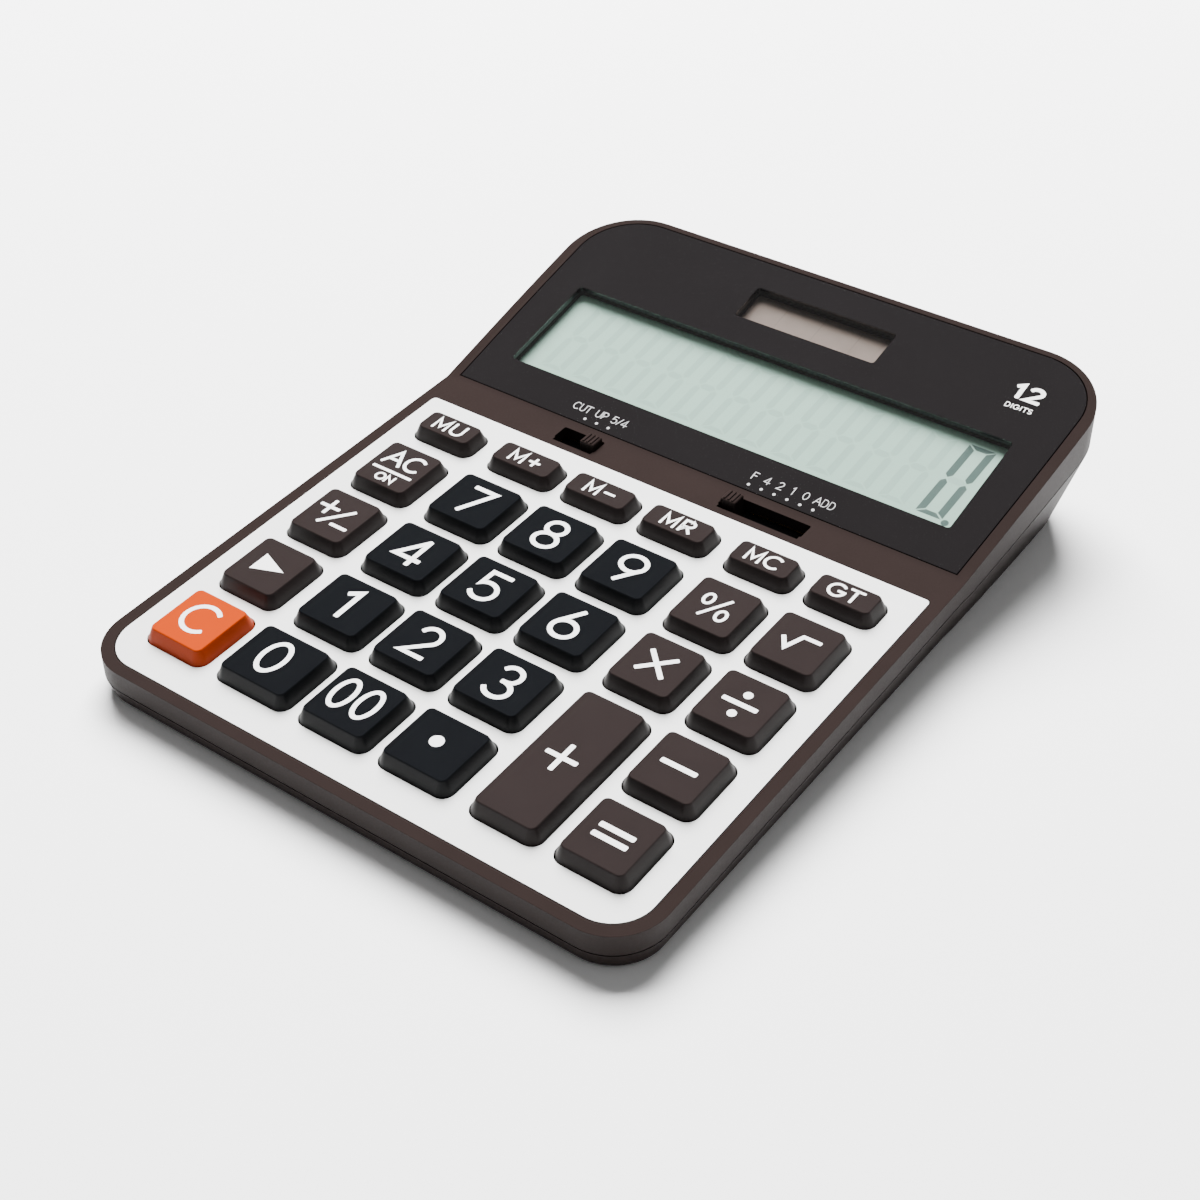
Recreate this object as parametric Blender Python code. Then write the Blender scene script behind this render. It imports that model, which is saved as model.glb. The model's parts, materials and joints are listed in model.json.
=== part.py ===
"""Twelve-digit desk calculator: a wedge-shaped two-part case with a tilted display,
a metal faceplate over the keys, a membrane keypad and two slide switches.

World frame: X to the right, Y towards the back, Z up, the feet standing on Z = 0 and the
origin under the middle of the case.  Two sloping frames carry nearly everything:
  deck  - the key panel; its origin is on the front rim, its Y runs up the slope
  head  - the display panel; its origin is on the bend where the two panels meet
"""
from math import copysign, cos, hypot, radians, sin, tan

import bmesh
import bpy
from mathutils import Matrix, Vector

MM = 0.001

# ---- overall size and slopes ----
BODY_WIDTH = 155.0 * MM         # beside the keys
BODY_LENGTH = 208.0 * MM
RIM_HEIGHT = 10.3 * MM          # front rim above the table
DECK_TILT = radians(3.5)
HEAD_TILT = radians(14.1)
SEAM_TILT = radians(10.9)       # slope of the case seam beside the display
DECK_RUN = 132.2 * MM           # front rim to the bend, along the slope
SEAM_DROP = 5.3 * MM            # seam below the front rim
SEAM_BEND_Y = 33.0 * MM
FRONT_RADIUS = 13.4 * MM        # plan corner radii of the case
BACK_RADIUS = 20.0 * MM
FLARE = 2.2 * MM                # how far each side bows out from the bend to the back
FLARE_STATIONS = 8
CORNER_STEPS = 7
ROUND_STEPS = 16                # segments round screws and feet
RIM_FILLET = 1.6 * MM
SHARP_ANGLE = radians(35)       # edges steeper than this stay crisp in the shading

# ---- case shells ----
WALL = 2.0 * MM
ROOF = 3.0 * MM                 # case top above the hollow, measured upright
FLOOR = 1.5 * MM
BOTTOM_DRAFT = radians(16.0)    # how the lower shell leans in towards the table
BOTTOM_Z = 1.0 * MM              # underside of the case above the table
BOTTOM_FILLET = 1.0 * MM
GAP = 0.3 * MM                  # clearance between neighbouring pieces
CUT_SPARE = 6.0 * MM            # how far a cutter runs on past the material
WELD = 0.01 * MM

# ---- faceplate and keys, on the deck ----
PLATE_HALF_WIDTH = 74.0 * MM
PLATE_FRONT = 3.3 * MM
PLATE_BACK = 122.7 * MM
PLATE_THICK = 0.8 * MM
PLATE_FRONT_RADIUS = 10.0 * MM
PLATE_BACK_RADIUS = 1.2 * MM
HOLE_RADIUS = 3.2 * MM
SIDE_HOLE_WIDTH = 19.0 * MM
NUMBER_HOLE_WIDTH = 20.5 * MM
ZERO_EXTRA_WIDTH = 1.7 * MM      # the 0 key reaches further left than the keys behind it
HOLE_DEPTH = 19.7 * MM
MEMORY_HOLE_DEPTH = 10.9 * MM
ROW_PITCH = 23.15 * MM
FIRST_ROW = 11.2 * MM           # front edge of the front row of holes
MEMORY_ROW = 105.3 * MM
SIDE_COLUMN = 58.45 * MM        # hole centres of the outer columns
OPERATOR_COLUMN = 36.5 * MM
NUMBER_COLUMNS = (-33.75 * MM, -10.75 * MM, 12.3 * MM)
KEY_CLEARANCE = 0.35 * MM
KEY_RISE = 3.5 * MM
KEY_TAPER = 1.25 * MM           # how far each side of a key leans in
KEY_TOP_BEVEL = 0.4 * MM
KEY_SHOULDER = 0.2 * MM         # upright part of a key above the faceplate
KEY_STEPS = 2
KEY_FLANGE = 0.8 * MM           # flange that holds a key under the case top
KEY_FLANGE_THICK = 0.8 * MM
KEY_TRAVEL = 2.0 * MM
KEY_WALL = 1.5 * MM

# ---- slide switches, on the deck behind the faceplate ----
SWITCH_PITCH = 3.7 * MM
SWITCH_SLOT_FRONT = 126.0 * MM
SWITCH_SLOT_BACK = 131.0 * MM
SWITCH_END_ROOM = 0.5 * MM
KNOB_WIDTH = 4.3 * MM
KNOB_RISE = 2.0 * MM
KNOB_BEVEL = 0.5 * MM
KNOB_FOOT = 1.0 * MM             # height and overhang of the foot under the case top
SWITCHES = {"rounding": (-34.3 * MM, 3), "decimal": (15.9 * MM, 6)}     # leftmost stop, stops

# ---- display, on the head ----
LENS_HALF_WIDTH = 74.2 * MM
LENS_FRONT = 2.0 * MM
LENS_BACK = 76.4 * MM
LENS_THICK = 1.5 * MM
LENS_BACK_RADIUS = 16.5 * MM
LCD_WINDOW = (66.0 * MM, 13.7 * MM, 45.6 * MM)      # half width, front, back
SOLAR_WINDOW = (21.3 * MM, 54.7 * MM, 66.9 * MM)
LCD_MARGIN = 2.4 * MM
LCD_THICK = 2.2 * MM
HOLDER_BORDER = 4.0 * MM
HOLDER_THICK = 1.6 * MM
SOLAR_THICK = 1.2 * MM
SOLAR_MARGIN = 1.5 * MM

# ---- inside ----
BOARD_HALF_WIDTH = 71.0 * MM
BOARD_FRONT = 11.0 * MM
BOARD_BACK = 117.5 * MM
BOARD_RADIUS = 3.0 * MM
MAT_THICK = 0.5 * MM
BOARD_THICK = 0.8 * MM
DOME_RADIUS = 3.0 * MM
DOME_TOP_RADIUS = 2.0 * MM
DOME_RISE = 2.8 * MM
CHIP_SITE = 95.0 * MM            # up the deck
CHIP_THICK = 1.4 * MM
CHIP_LOW_RADIUS = 5.0 * MM
CHIP_HIGH_RADIUS = 6.5 * MM
SCREW_SITES = (("front", 64.0 * MM, -98.2 * MM), ("middle", 69.5 * MM, 18.5 * MM),
               ("back", 58.0 * MM, 92.0 * MM))
BOSS_RADIUS = 3.6 * MM
BOSS_SPLIT = 0.42                # how far up the case the two bosses of a screw meet
BOSS_WEB = 1.4 * MM              # material between a screw head and the upper boss
SCREW_REACH = 7.0 * MM
SCREW_COVER = 2.8 * MM           # case left above the tip of a screw
SCREW_HEAD_RADIUS = 2.3 * MM
SCREW_HEAD_THICK = 1.4 * MM
SCREW_SHANK_RADIUS = 1.3 * MM
SCREW_TIP_TAPER = 0.6            # tip radius over shank radius
SCREW_TIP_BEVEL = 0.6 * MM
SCREW_SOCKET_RADIUS = 1.0 * MM
SCREW_SOCKET_DEPTH = 0.7 * MM
ROUND_BEVEL = 0.4 * MM           # bevel of screw heads, feet and the button cell
CELL_RADIUS = 5.8 * MM
CELL_THICK = 5.4 * MM
CELL_RING = 1.6 * MM
CELL_SITE = (38.0 * MM, 60.0 * MM)
CONTACT_THICK = 0.3 * MM
CONTACT_RADIUS = 4.5 * MM
CONTACT_HALF_WIDTH = 2.5 * MM
CONTACT_OVERLAP = 3.0 * MM       # how far the spring arm reaches past the cell's middle
RIBBON_THICK = 0.3 * MM
RIBBON_HALF_WIDTH = 48.0 * MM
RIBBON_START = (109.0 * MM, 119.0 * MM)     # stretch under the board, up the deck
RIBBON_BEND = 2.0 * MM
RIBBON_LAP = 0.5 * MM            # how far its end stays below the top of the panel
FOOT_RADIUS = 6.0 * MM
FOOT_SOCKET = 0.9 * MM
FOOT_SITES = {
    "front_left_foot": (-58.0 * MM, -84.0 * MM), "front_right_foot": (58.0 * MM, -84.0 * MM),
    "back_left_foot": (-54.0 * MM, 76.0 * MM), "back_right_foot": (54.0 * MM, 76.0 * MM)}
LEAD_RADIUS = 0.6 * MM
LEAD_PLUS_X = 12.0 * MM
LEAD_MINUS_X = 17.0 * MM
LEAD_UNDER_CELL = 4.0 * MM       # start, back from the window's front edge
LEAD_DIVE = 4.0 * MM             # depth below the display panel as the leads turn down
LEAD_FLOOR_POINTS = ((55.0 * MM, 8.0 * MM), (36.0 * MM, 5.0 * MM))      # (y, z) on the way forward
LEAD_BOARD_POINTS = ((5.0 * MM, -2.6 * MM), (-12.0 * MM, -2.2 * MM))    # past, below the board's back

# ---- where the two sloping frames stand in the world ----
FRONT_Y = -BODY_LENGTH / 2
BEND_Y = FRONT_Y + DECK_RUN * cos(DECK_TILT)
BEND_Z = RIM_HEIGHT + DECK_RUN * sin(DECK_TILT)
DECK = Matrix.Translation((0, FRONT_Y, RIM_HEIGHT)) @ Matrix.Rotation(DECK_TILT, 4, "X")
HEAD = Matrix.Translation((0, BEND_Y, BEND_Z)) @ Matrix.Rotation(HEAD_TILT, 4, "X")

ROOF_UNDER = -ROOF              # underside of the case top, in both sloping frames
FLANGE_TOP = ROOF_UNDER - GAP
FLANGE_UNDER = FLANGE_TOP - KEY_FLANGE_THICK
MAT_TOP = FLANGE_UNDER - KEY_TRAVEL - GAP
BOARD_TOP = MAT_TOP - MAT_THICK - GAP
BOARD_UNDER = BOARD_TOP - BOARD_THICK
LENS_UNDER = -LENS_THICK
LCD_TOP = ROOF_UNDER - GAP
LCD_UNDER = LCD_TOP - LCD_THICK
FLOOR_TOP = BOTTOM_Z + FLOOR

# profiles drawn in (Y, Z) stand on edge and run along X
SIDEWAYS = Matrix(((0, 0, 1, 0), (1, 0, 0, 0), (0, 1, 0, 0), (0, 0, 0, 1)))


# ---------------------------------------------------------------- scene helpers
def clear_scene():
    for item in list(bpy.data.objects):
        bpy.data.objects.remove(item, do_unlink=True)


def new_collection(name):
    group = bpy.data.collections.new(name)
    bpy.context.scene.collection.children.link(group)
    return group


def finish(name, colour, roughness, metallic=0.0):
    material = bpy.data.materials.new(name)
    material.use_nodes = True
    shader = material.node_tree.nodes["Principled BSDF"]
    shader.inputs["Base Color"].default_value = (*colour, 1.0)
    shader.inputs["Roughness"].default_value = roughness
    shader.inputs["Metallic"].default_value = metallic
    return material


def place(name, bm, material, where=Matrix.Identity(4), group=None):
    """Store a bmesh as a part, standing at a place in the world."""
    bmesh.ops.recalc_face_normals(bm, faces=bm.faces)
    mesh = bpy.data.meshes.new(name)
    bm.to_mesh(mesh)
    bm.free()
    mesh.shade_smooth()
    mesh.set_sharp_from_angle(angle=SHARP_ANGLE)
    mesh.materials.append(material)
    part = bpy.data.objects.new(name, mesh)
    (group or parts).objects.link(part)
    part.matrix_world = where
    return part


def cutter(name, bm, where=Matrix.Identity(4)):
    tool = place(name, bm, cutter_finish, where, cutters)
    tool.hide_render = True
    tool.display_type = "WIRE"
    return tool


def combine(part, tool, operation="DIFFERENCE"):
    change = part.modifiers.new(tool.name, "BOOLEAN")
    change.operation = operation
    change.solver = "EXACT"
    change.object = tool


# ---------------------------------------------------------------- shapes
def rounded_outline(left, right, front, back, front_radius, back_radius, steps=CORNER_STEPS):
    """Points round a rectangle with arcs at its corners, counter-clockwise."""
    points = []
    corners = ((right, front, -1, 1, front_radius, -90), (right, back, -1, -1, back_radius, 0),
               (left, back, 1, -1, back_radius, 90), (left, front, 1, 1, front_radius, 180))
    for x, y, inward_x, inward_y, radius, start in corners:
        if radius == 0:
            points.append((x, y))
            continue
        centre_x, centre_y = x + inward_x * radius, y + inward_y * radius
        for step in range(steps + 1):
            angle = radians(start + 90 * step / steps)
            points.append((centre_x + radius * cos(angle), centre_y + radius * sin(angle)))
    return points


def mesh_of_curve(curve):
    """Bmesh of a curve with its caps welded on; the curve is used up."""
    drawn = bpy.data.objects.new("drawn", curve)
    bpy.context.scene.collection.objects.link(drawn)
    graph = bpy.context.evaluated_depsgraph_get()
    mesh = bpy.data.meshes.new_from_object(drawn.evaluated_get(graph))
    bm = bmesh.new()
    bm.from_mesh(mesh)
    bpy.data.objects.remove(drawn)
    bpy.data.meshes.remove(mesh)
    bpy.data.curves.remove(curve)
    bmesh.ops.remove_doubles(bm, verts=bm.verts, dist=WELD)
    return bm


def prism(outlines, low, high):
    """Closed prism over a flat outline, whose later outlines are holes."""
    curve = bpy.data.curves.new("outline", "CURVE")
    curve.dimensions = "2D"
    curve.fill_mode = "BOTH"
    curve.extrude = (high - low) / 2
    for outline in outlines:
        spline = curve.splines.new("POLY")
        spline.points.add(len(outline) - 1)
        for point, (x, y) in zip(spline.points, outline):
            point.co = (x, y, 0, 1)
        spline.use_cyclic_u = True
    bm = mesh_of_curve(curve)
    bmesh.ops.translate(bm, vec=(0, 0, (low + high) / 2), verts=bm.verts)
    return bm


def box(bm, left, right, front, back, low, high):
    """Add a box to a bmesh."""
    size = (right - left, back - front, high - low)
    middle = ((left + right) / 2, (front + back) / 2, (low + high) / 2)
    bmesh.ops.create_cube(bm, size=1, matrix=Matrix.Translation(middle) @ Matrix.Diagonal((*size, 1)))
    return bm


def drum(bm, x, y, low, high, radius, segments=16, top_radius=None):
    """Add an upright cylinder, or a cone when the top radius differs."""
    middle = Matrix.Translation((x, y, (low + high) / 2))
    bmesh.ops.create_cone(bm, cap_ends=True, segments=segments, radius1=radius,
                          radius2=radius if top_radius is None else top_radius,
                          depth=high - low, matrix=middle)
    return bm


# ---------------------------------------------------------------- case shells
def deck_z(y):
    return RIM_HEIGHT + (y - FRONT_Y) * tan(DECK_TILT)


def top_z(y):
    """Height of the case top: the deck, then the steeper head."""
    return deck_z(y) if y <= BEND_Y else BEND_Z + (y - BEND_Y) * tan(HEAD_TILT)


def seam_z(y):
    """Height of the joint between the two shells."""
    along_deck = deck_z(min(y, SEAM_BEND_Y)) - SEAM_DROP
    return along_deck + max(0.0, y - SEAM_BEND_Y) * tan(SEAM_TILT)


def flare(bm, world_y=lambda y: y):
    """Bow the sides of a block out behind the bend; world_y turns the block's own y into the world's."""
    for vert in bm.verts:
        behind = max(0.0, world_y(vert.co.y) - BEND_Y) / (BODY_LENGTH / 2 - BEND_Y)
        vert.co.x *= 1 + 2 * FLARE / BODY_WIDTH * sin(radians(90) * min(behind, 1.0))


def cut_across(bm, stations):
    """Add edges across a block so that it can bend at these y stations."""
    for y in stations:
        bmesh.ops.bisect_plane(bm, geom=bm.verts[:] + bm.edges[:] + bm.faces[:],
                               plane_co=(0, y, 0), plane_no=(0, 1, 0))


def body_outline(inset):
    half = BODY_WIDTH / 2 - inset
    return rounded_outline(-half, half, FRONT_Y + inset, -FRONT_Y - inset,
                           FRONT_RADIUS - inset, BACK_RADIUS - inset)


def case_block(inset, low_z, high_z):
    """Prism over the body outline whose ends follow two height rules along Y."""
    bm = prism([body_outline(inset)], -1, 1)
    reach = BODY_LENGTH / 2 - BACK_RADIUS - BEND_Y
    stations = [BEND_Y + reach * step / FLARE_STATIONS for step in range(1, FLARE_STATIONS)]
    cut_across(bm, [BEND_Y, SEAM_BEND_Y, *stations])
    for vert in bm.verts:
        vert.co.z = high_z(vert.co.y) if vert.co.z > 0 else low_z(vert.co.y)
    return bm


def outward(x, y):
    """Direction straight out of the body outline at a point on it."""
    half_x, half_y = BODY_WIDTH / 2, BODY_LENGTH / 2
    radius = FRONT_RADIUS if y < 0 else BACK_RADIUS
    past_x = abs(x) - (half_x - radius)
    past_y = abs(y) - (half_y - radius)
    if past_x > 0 and past_y > 0:
        length = hypot(past_x, past_y)
        return Vector((copysign(past_x, x) / length, copysign(past_y, y) / length))
    return Vector((copysign(1, x), 0)) if past_x > 0 else Vector((0, copysign(1, y)))


def lean_in(bm, low_z):
    """Lean a block's walls in from the seam down to its low end."""
    bm.normal_update()
    for vert in bm.verts:
        on_wall = any(abs(face.normal.z) < 0.5 for face in vert.link_faces)
        if on_wall and vert.co.z < low_z + WELD:
            direction = outward(vert.co.x, vert.co.y)
            shift = (seam_z(vert.co.y) - low_z) * tan(BOTTOM_DRAFT)
            vert.co.x -= direction.x * shift
            vert.co.y -= direction.y * shift


def edges_between(bm, is_cap):
    """Edges where a wall meets a face that is_cap accepts."""
    bm.normal_update()
    found = []
    for edge in bm.edges:
        if len(edge.link_faces) == 2:
            caps = [is_cap(face) for face in edge.link_faces]
            if caps[0] != caps[1]:
                found.append(edge)
    return found


def round_edges(bm, edges, radius, segments):
    bmesh.ops.bevel(bm, geom=edges, offset=radius, segments=segments, profile=0.5, affect="EDGES",
                    clamp_overlap=True, material=-1)


def boss_height(y):
    """Top of a lower screw boss, where the upper boss meets it."""
    return BOTTOM_Z + BOSS_SPLIT * (top_z(y) - BOTTOM_Z)


def screw_seat(y):
    """Shoulder that the screw's head pulls against."""
    return boss_height(y) - BOSS_WEB


def screw_tip(y):
    return min(top_z(y) - SCREW_COVER, boss_height(y) + SCREW_REACH)


def screw_places():
    for row, x, y in SCREW_SITES:
        for side, sign in (("left", -1), ("right", 1)):
            yield row + "_" + side, sign * x, y


# ---------------------------------------------------------------- keys
class Key:
    """One key and its hole in the faceplate, in deck coordinates."""

    def __init__(self, name, x, front, width, depth, material):
        self.node = "key_" + name
        self.x, self.front, self.width, self.depth = x, front, width, depth
        self.left, self.right, self.back = x - width / 2, x + width / 2, front + depth
        self.material = material


def key_layout():
    """The keys of the memory row, then those of the four main rows from the front."""
    columns = (-SIDE_COLUMN, *NUMBER_COLUMNS, OPERATOR_COLUMN, SIDE_COLUMN)
    widths = (SIDE_HOLE_WIDTH, *[NUMBER_HOLE_WIDTH] * 3, SIDE_HOLE_WIDTH, SIDE_HOLE_WIDTH)
    memory_row = ("mu", "m_plus", "m_minus", "mr", "mc", "gt")
    main_rows = (("clear", "0", "00", "point", "plus", "equals"),
                 ("backspace", "1", "2", "3", None, "minus"),
                 ("sign", "4", "5", "6", "multiply", "divide"),
                 ("all_clear", "7", "8", "9", "percent", "root"))
    keys = [Key(name, x, MEMORY_ROW, width, MEMORY_HOLE_DEPTH, brown_key)
            for name, x, width in zip(memory_row, columns, widths)]
    for row, names in enumerate(main_rows):
        for name, x, width in zip(names, columns, widths):
            if name is None:
                continue
            depth = HOLE_DEPTH + ROW_PITCH if name == "plus" else HOLE_DEPTH
            material = black_key if width == NUMBER_HOLE_WIDTH else brown_key
            if name == "clear":
                material = orange_key
            if name == "0":
                x, width = x - ZERO_EXTRA_WIDTH / 2, width + ZERO_EXTRA_WIDTH
            keys.append(Key(name, x, FIRST_ROW + row * ROW_PITCH, width, depth, material))
    return keys


def raise_face(bm, face, height, keep=False):
    """Extrude a flat face along Z and return the moved one; keep leaves the old one in place."""
    made = bmesh.ops.extrude_face_region(bm, geom=[face])["geom"]
    moved = [item for item in made if isinstance(item, bmesh.types.BMVert)]
    bmesh.ops.translate(bm, vec=(0, 0, height), verts=moved)
    if not keep:
        bmesh.ops.delete(bm, geom=[face], context="FACES_ONLY")
    return next(item for item in made if isinstance(item, bmesh.types.BMFace))


def inset_face(bm, face, border, lift=0.0):
    """Inset a flat face, raise its middle and return it."""
    bmesh.ops.inset_region(bm, faces=[face], thickness=border, use_even_offset=True)
    bmesh.ops.translate(bm, vec=(0, 0, lift), verts=face.verts[:])
    return face


def key_cap(key):
    """Hollow cap with a flange; its origin is on the plate plane at the middle of its hole."""
    half_width, half_depth = key.width / 2 + KEY_FLANGE, key.depth / 2 + KEY_FLANGE
    outline = rounded_outline(-half_width, half_width, -half_depth, half_depth,
                              HOLE_RADIUS + KEY_FLANGE, HOLE_RADIUS + KEY_FLANGE, KEY_STEPS)
    bm = bmesh.new()
    foot = bm.faces.new([bm.verts.new((x, y, FLANGE_UNDER)) for x, y in outline])
    top = raise_face(bm, foot, KEY_FLANGE_THICK, keep=True)
    top = inset_face(bm, top, KEY_FLANGE + KEY_CLEARANCE)
    top = raise_face(bm, top, KEY_SHOULDER - FLANGE_TOP)
    top = inset_face(bm, top, KEY_TAPER, KEY_RISE - KEY_TOP_BEVEL - KEY_SHOULDER)
    inset_face(bm, top, KEY_TOP_BEVEL, KEY_TOP_BEVEL)
    inner = inset_face(bm, foot, KEY_FLANGE + KEY_CLEARANCE + KEY_WALL)
    raise_face(bm, inner, KEY_RISE - KEY_WALL - FLANGE_UNDER)
    middle = Matrix.Translation((key.x, key.front + key.depth / 2, 0))
    place(key.node, bm, key.material, DECK @ middle)


# ---------------------------------------------------------------- the case and what is fixed on it
def plate_outline(grow):
    return rounded_outline(-PLATE_HALF_WIDTH - grow, PLATE_HALF_WIDTH + grow, PLATE_FRONT - grow,
                           PLATE_BACK + grow, PLATE_FRONT_RADIUS + grow, PLATE_BACK_RADIUS + grow)


def lens_outline(grow):
    return rounded_outline(-LENS_HALF_WIDTH - grow, LENS_HALF_WIDTH + grow, LENS_FRONT - grow,
                           LENS_BACK + grow, 0, LENS_BACK_RADIUS + grow)


def lens_block(grow, low, high):
    """Prism over the lens outline whose sides bow out like the case."""
    bm = prism([lens_outline(grow)], low, high)
    straight_back = LENS_BACK - LENS_BACK_RADIUS
    cut_across(bm, [straight_back * step / FLARE_STATIONS for step in range(1, FLARE_STATIONS + 1)])
    flare(bm, lambda y: BEND_Y + y * cos(HEAD_TILT))
    return bm


def rectangle(half_width, front, back):
    return [(-half_width, front), (half_width, front), (half_width, back), (-half_width, back)]


def switch_slot(first, stops):
    """Left and right end of a switch's slot."""
    reach = KNOB_WIDTH / 2 + SWITCH_END_ROOM
    return first - reach, first + (stops - 1) * SWITCH_PITCH + reach


def top_case(keys):
    bm = case_block(0, seam_z, top_z)
    flare(bm)
    bmesh.ops.recalc_face_normals(bm, faces=bm.faces)
    round_edges(bm, edges_between(bm, lambda face: face.normal.z > 0.5), RIM_FILLET, 2)
    shell = place("top_case", bm, brown_plastic)

    hollow = case_block(WALL, lambda y: seam_z(y) - CUT_SPARE, lambda y: top_z(y) - ROOF)
    flare(hollow)
    combine(shell, cutter("top_hollow", hollow))
    bosses, bores = bmesh.new(), bmesh.new()
    for _, x, y in screw_places():
        drum(bosses, x, y, boss_height(y) + GAP, top_z(y) - ROOF / 2, BOSS_RADIUS)
        drum(bores, x, y, boss_height(y) - CUT_SPARE, screw_tip(y) + GAP, SCREW_SHANK_RADIUS + GAP, 12)
    combine(shell, cutter("top_bosses", bosses), "UNION")
    combine(shell, cutter("top_bores", bores))

    pocket = prism([plate_outline(GAP)], -PLATE_THICK - GAP, CUT_SPARE)
    combine(shell, cutter("plate_pocket", pocket, DECK))
    pocket = lens_block(GAP, LENS_UNDER - GAP, CUT_SPARE)
    combine(shell, cutter("lens_pocket", pocket, HEAD))

    openings = bmesh.new()
    for key in keys:
        box(openings, key.left - GAP, key.right + GAP, key.front - GAP, key.back + GAP,
            -CUT_SPARE, -PLATE_THICK)
    for first, stops in SWITCHES.values():
        left, right = switch_slot(first, stops)
        box(openings, left, right, SWITCH_SLOT_FRONT, SWITCH_SLOT_BACK, -CUT_SPARE, CUT_SPARE)
    combine(shell, cutter("deck_openings", openings, DECK))
    openings = bmesh.new()
    for half_width, front, back in (LCD_WINDOW, SOLAR_WINDOW):
        box(openings, -half_width, half_width, front, back, -CUT_SPARE, LENS_UNDER)
    combine(shell, cutter("head_openings", openings, HEAD))


def bottom_case():
    bm = case_block(0, lambda y: BOTTOM_Z, lambda y: seam_z(y) - GAP)
    lean_in(bm, BOTTOM_Z)
    flare(bm)
    bmesh.ops.recalc_face_normals(bm, faces=bm.faces)
    round_edges(bm, edges_between(bm, lambda face: face.normal.z < -0.9), BOTTOM_FILLET, 1)
    shell = place("bottom_case", bm, brown_plastic)

    hollow = case_block(WALL, lambda y: FLOOR_TOP, lambda y: seam_z(y) + CUT_SPARE)
    lean_in(hollow, FLOOR_TOP)
    flare(hollow)
    combine(shell, cutter("bottom_hollow", hollow))

    bosses, bores, shank_bores = bmesh.new(), bmesh.new(), bmesh.new()
    for _, x, y in screw_places():
        drum(bosses, x, y, BOTTOM_Z + FLOOR / 2, boss_height(y), BOSS_RADIUS)
        drum(bores, x, y, -CUT_SPARE, screw_seat(y), SCREW_HEAD_RADIUS + GAP)
        drum(shank_bores, x, y, screw_seat(y) - GAP, boss_height(y) + CUT_SPARE, SCREW_SHANK_RADIUS + GAP, 12)
    cell_x, cell_y = CELL_SITE
    drum(bosses, cell_x, cell_y, BOTTOM_Z + FLOOR / 2, FLOOR_TOP + CELL_THICK, CELL_RADIUS + CELL_RING, 24)
    drum(bores, cell_x, cell_y, FLOOR_TOP, FLOOR_TOP + 2 * CELL_THICK, CELL_RADIUS + GAP, 24)
    for x, y in FOOT_SITES.values():
        drum(bores, x, y, -CUT_SPARE, BOTTOM_Z + FOOT_SOCKET, FOOT_RADIUS + GAP, 20)
    combine(shell, cutter("bottom_bosses", bosses), "UNION")
    combine(shell, cutter("bottom_bores", bores))
    combine(shell, cutter("shank_bores", shank_bores))


def faceplate(keys):
    holes = [rounded_outline(key.left, key.right, key.front, key.back, HOLE_RADIUS, HOLE_RADIUS,
                             KEY_STEPS) for key in keys]
    place("faceplate", prism([plate_outline(0), *holes], -PLATE_THICK, 0), silver_plate, DECK)


def display():
    """Lens, liquid-crystal panel, its holder and the solar cell."""
    place("display_window", lens_block(0, LENS_UNDER, 0), black_lens, HEAD)
    half_width, front, back = LCD_WINDOW
    glass = rectangle(half_width + LCD_MARGIN, front - LCD_MARGIN, back + LCD_MARGIN)
    place("lcd_panel", prism([glass], LCD_UNDER, LCD_TOP), lcd_glass, HEAD)
    border = rectangle(half_width + HOLDER_BORDER, front - LCD_MARGIN / 2, back + HOLDER_BORDER)
    window = rectangle(half_width - HOLDER_BORDER, front + HOLDER_BORDER, back - HOLDER_BORDER)
    top = LCD_UNDER - GAP
    place("lcd_holder", prism([border, window], top - HOLDER_THICK, top), white_plastic, HEAD)
    half_width, front, back = SOLAR_WINDOW
    cell = rectangle(half_width + SOLAR_MARGIN, front - SOLAR_MARGIN, back + SOLAR_MARGIN)
    place("solar_cell", prism([cell], LCD_TOP - SOLAR_THICK, LCD_TOP), solar_glass, HEAD)


def keypad(keys):
    """Rubber mat with a dome under each key, and the circuit board below it."""
    outline = rounded_outline(-BOARD_HALF_WIDTH, BOARD_HALF_WIDTH, BOARD_FRONT, BOARD_BACK,
                              BOARD_RADIUS, BOARD_RADIUS, 2)
    mat = place("keypad_mat", prism([outline], MAT_TOP - MAT_THICK, MAT_TOP), grey_rubber, DECK)
    domes = bmesh.new()
    for key in keys:
        drum(domes, key.x, key.front + key.depth / 2, MAT_TOP - MAT_THICK / 2, MAT_TOP + DOME_RISE,
             DOME_RADIUS, 10, DOME_TOP_RADIUS)
    combine(mat, cutter("mat_domes", domes, DECK), "UNION")
    place("key_board", prism([outline], BOARD_UNDER, BOARD_TOP), green_board, DECK)
    chip_top = BOARD_UNDER - GAP
    chip = drum(bmesh.new(), 0, CHIP_SITE, chip_top - CHIP_THICK, chip_top, CHIP_LOW_RADIUS,
                top_radius=CHIP_HIGH_RADIUS)
    place("controller_chip", chip, black_resin, DECK)


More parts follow.
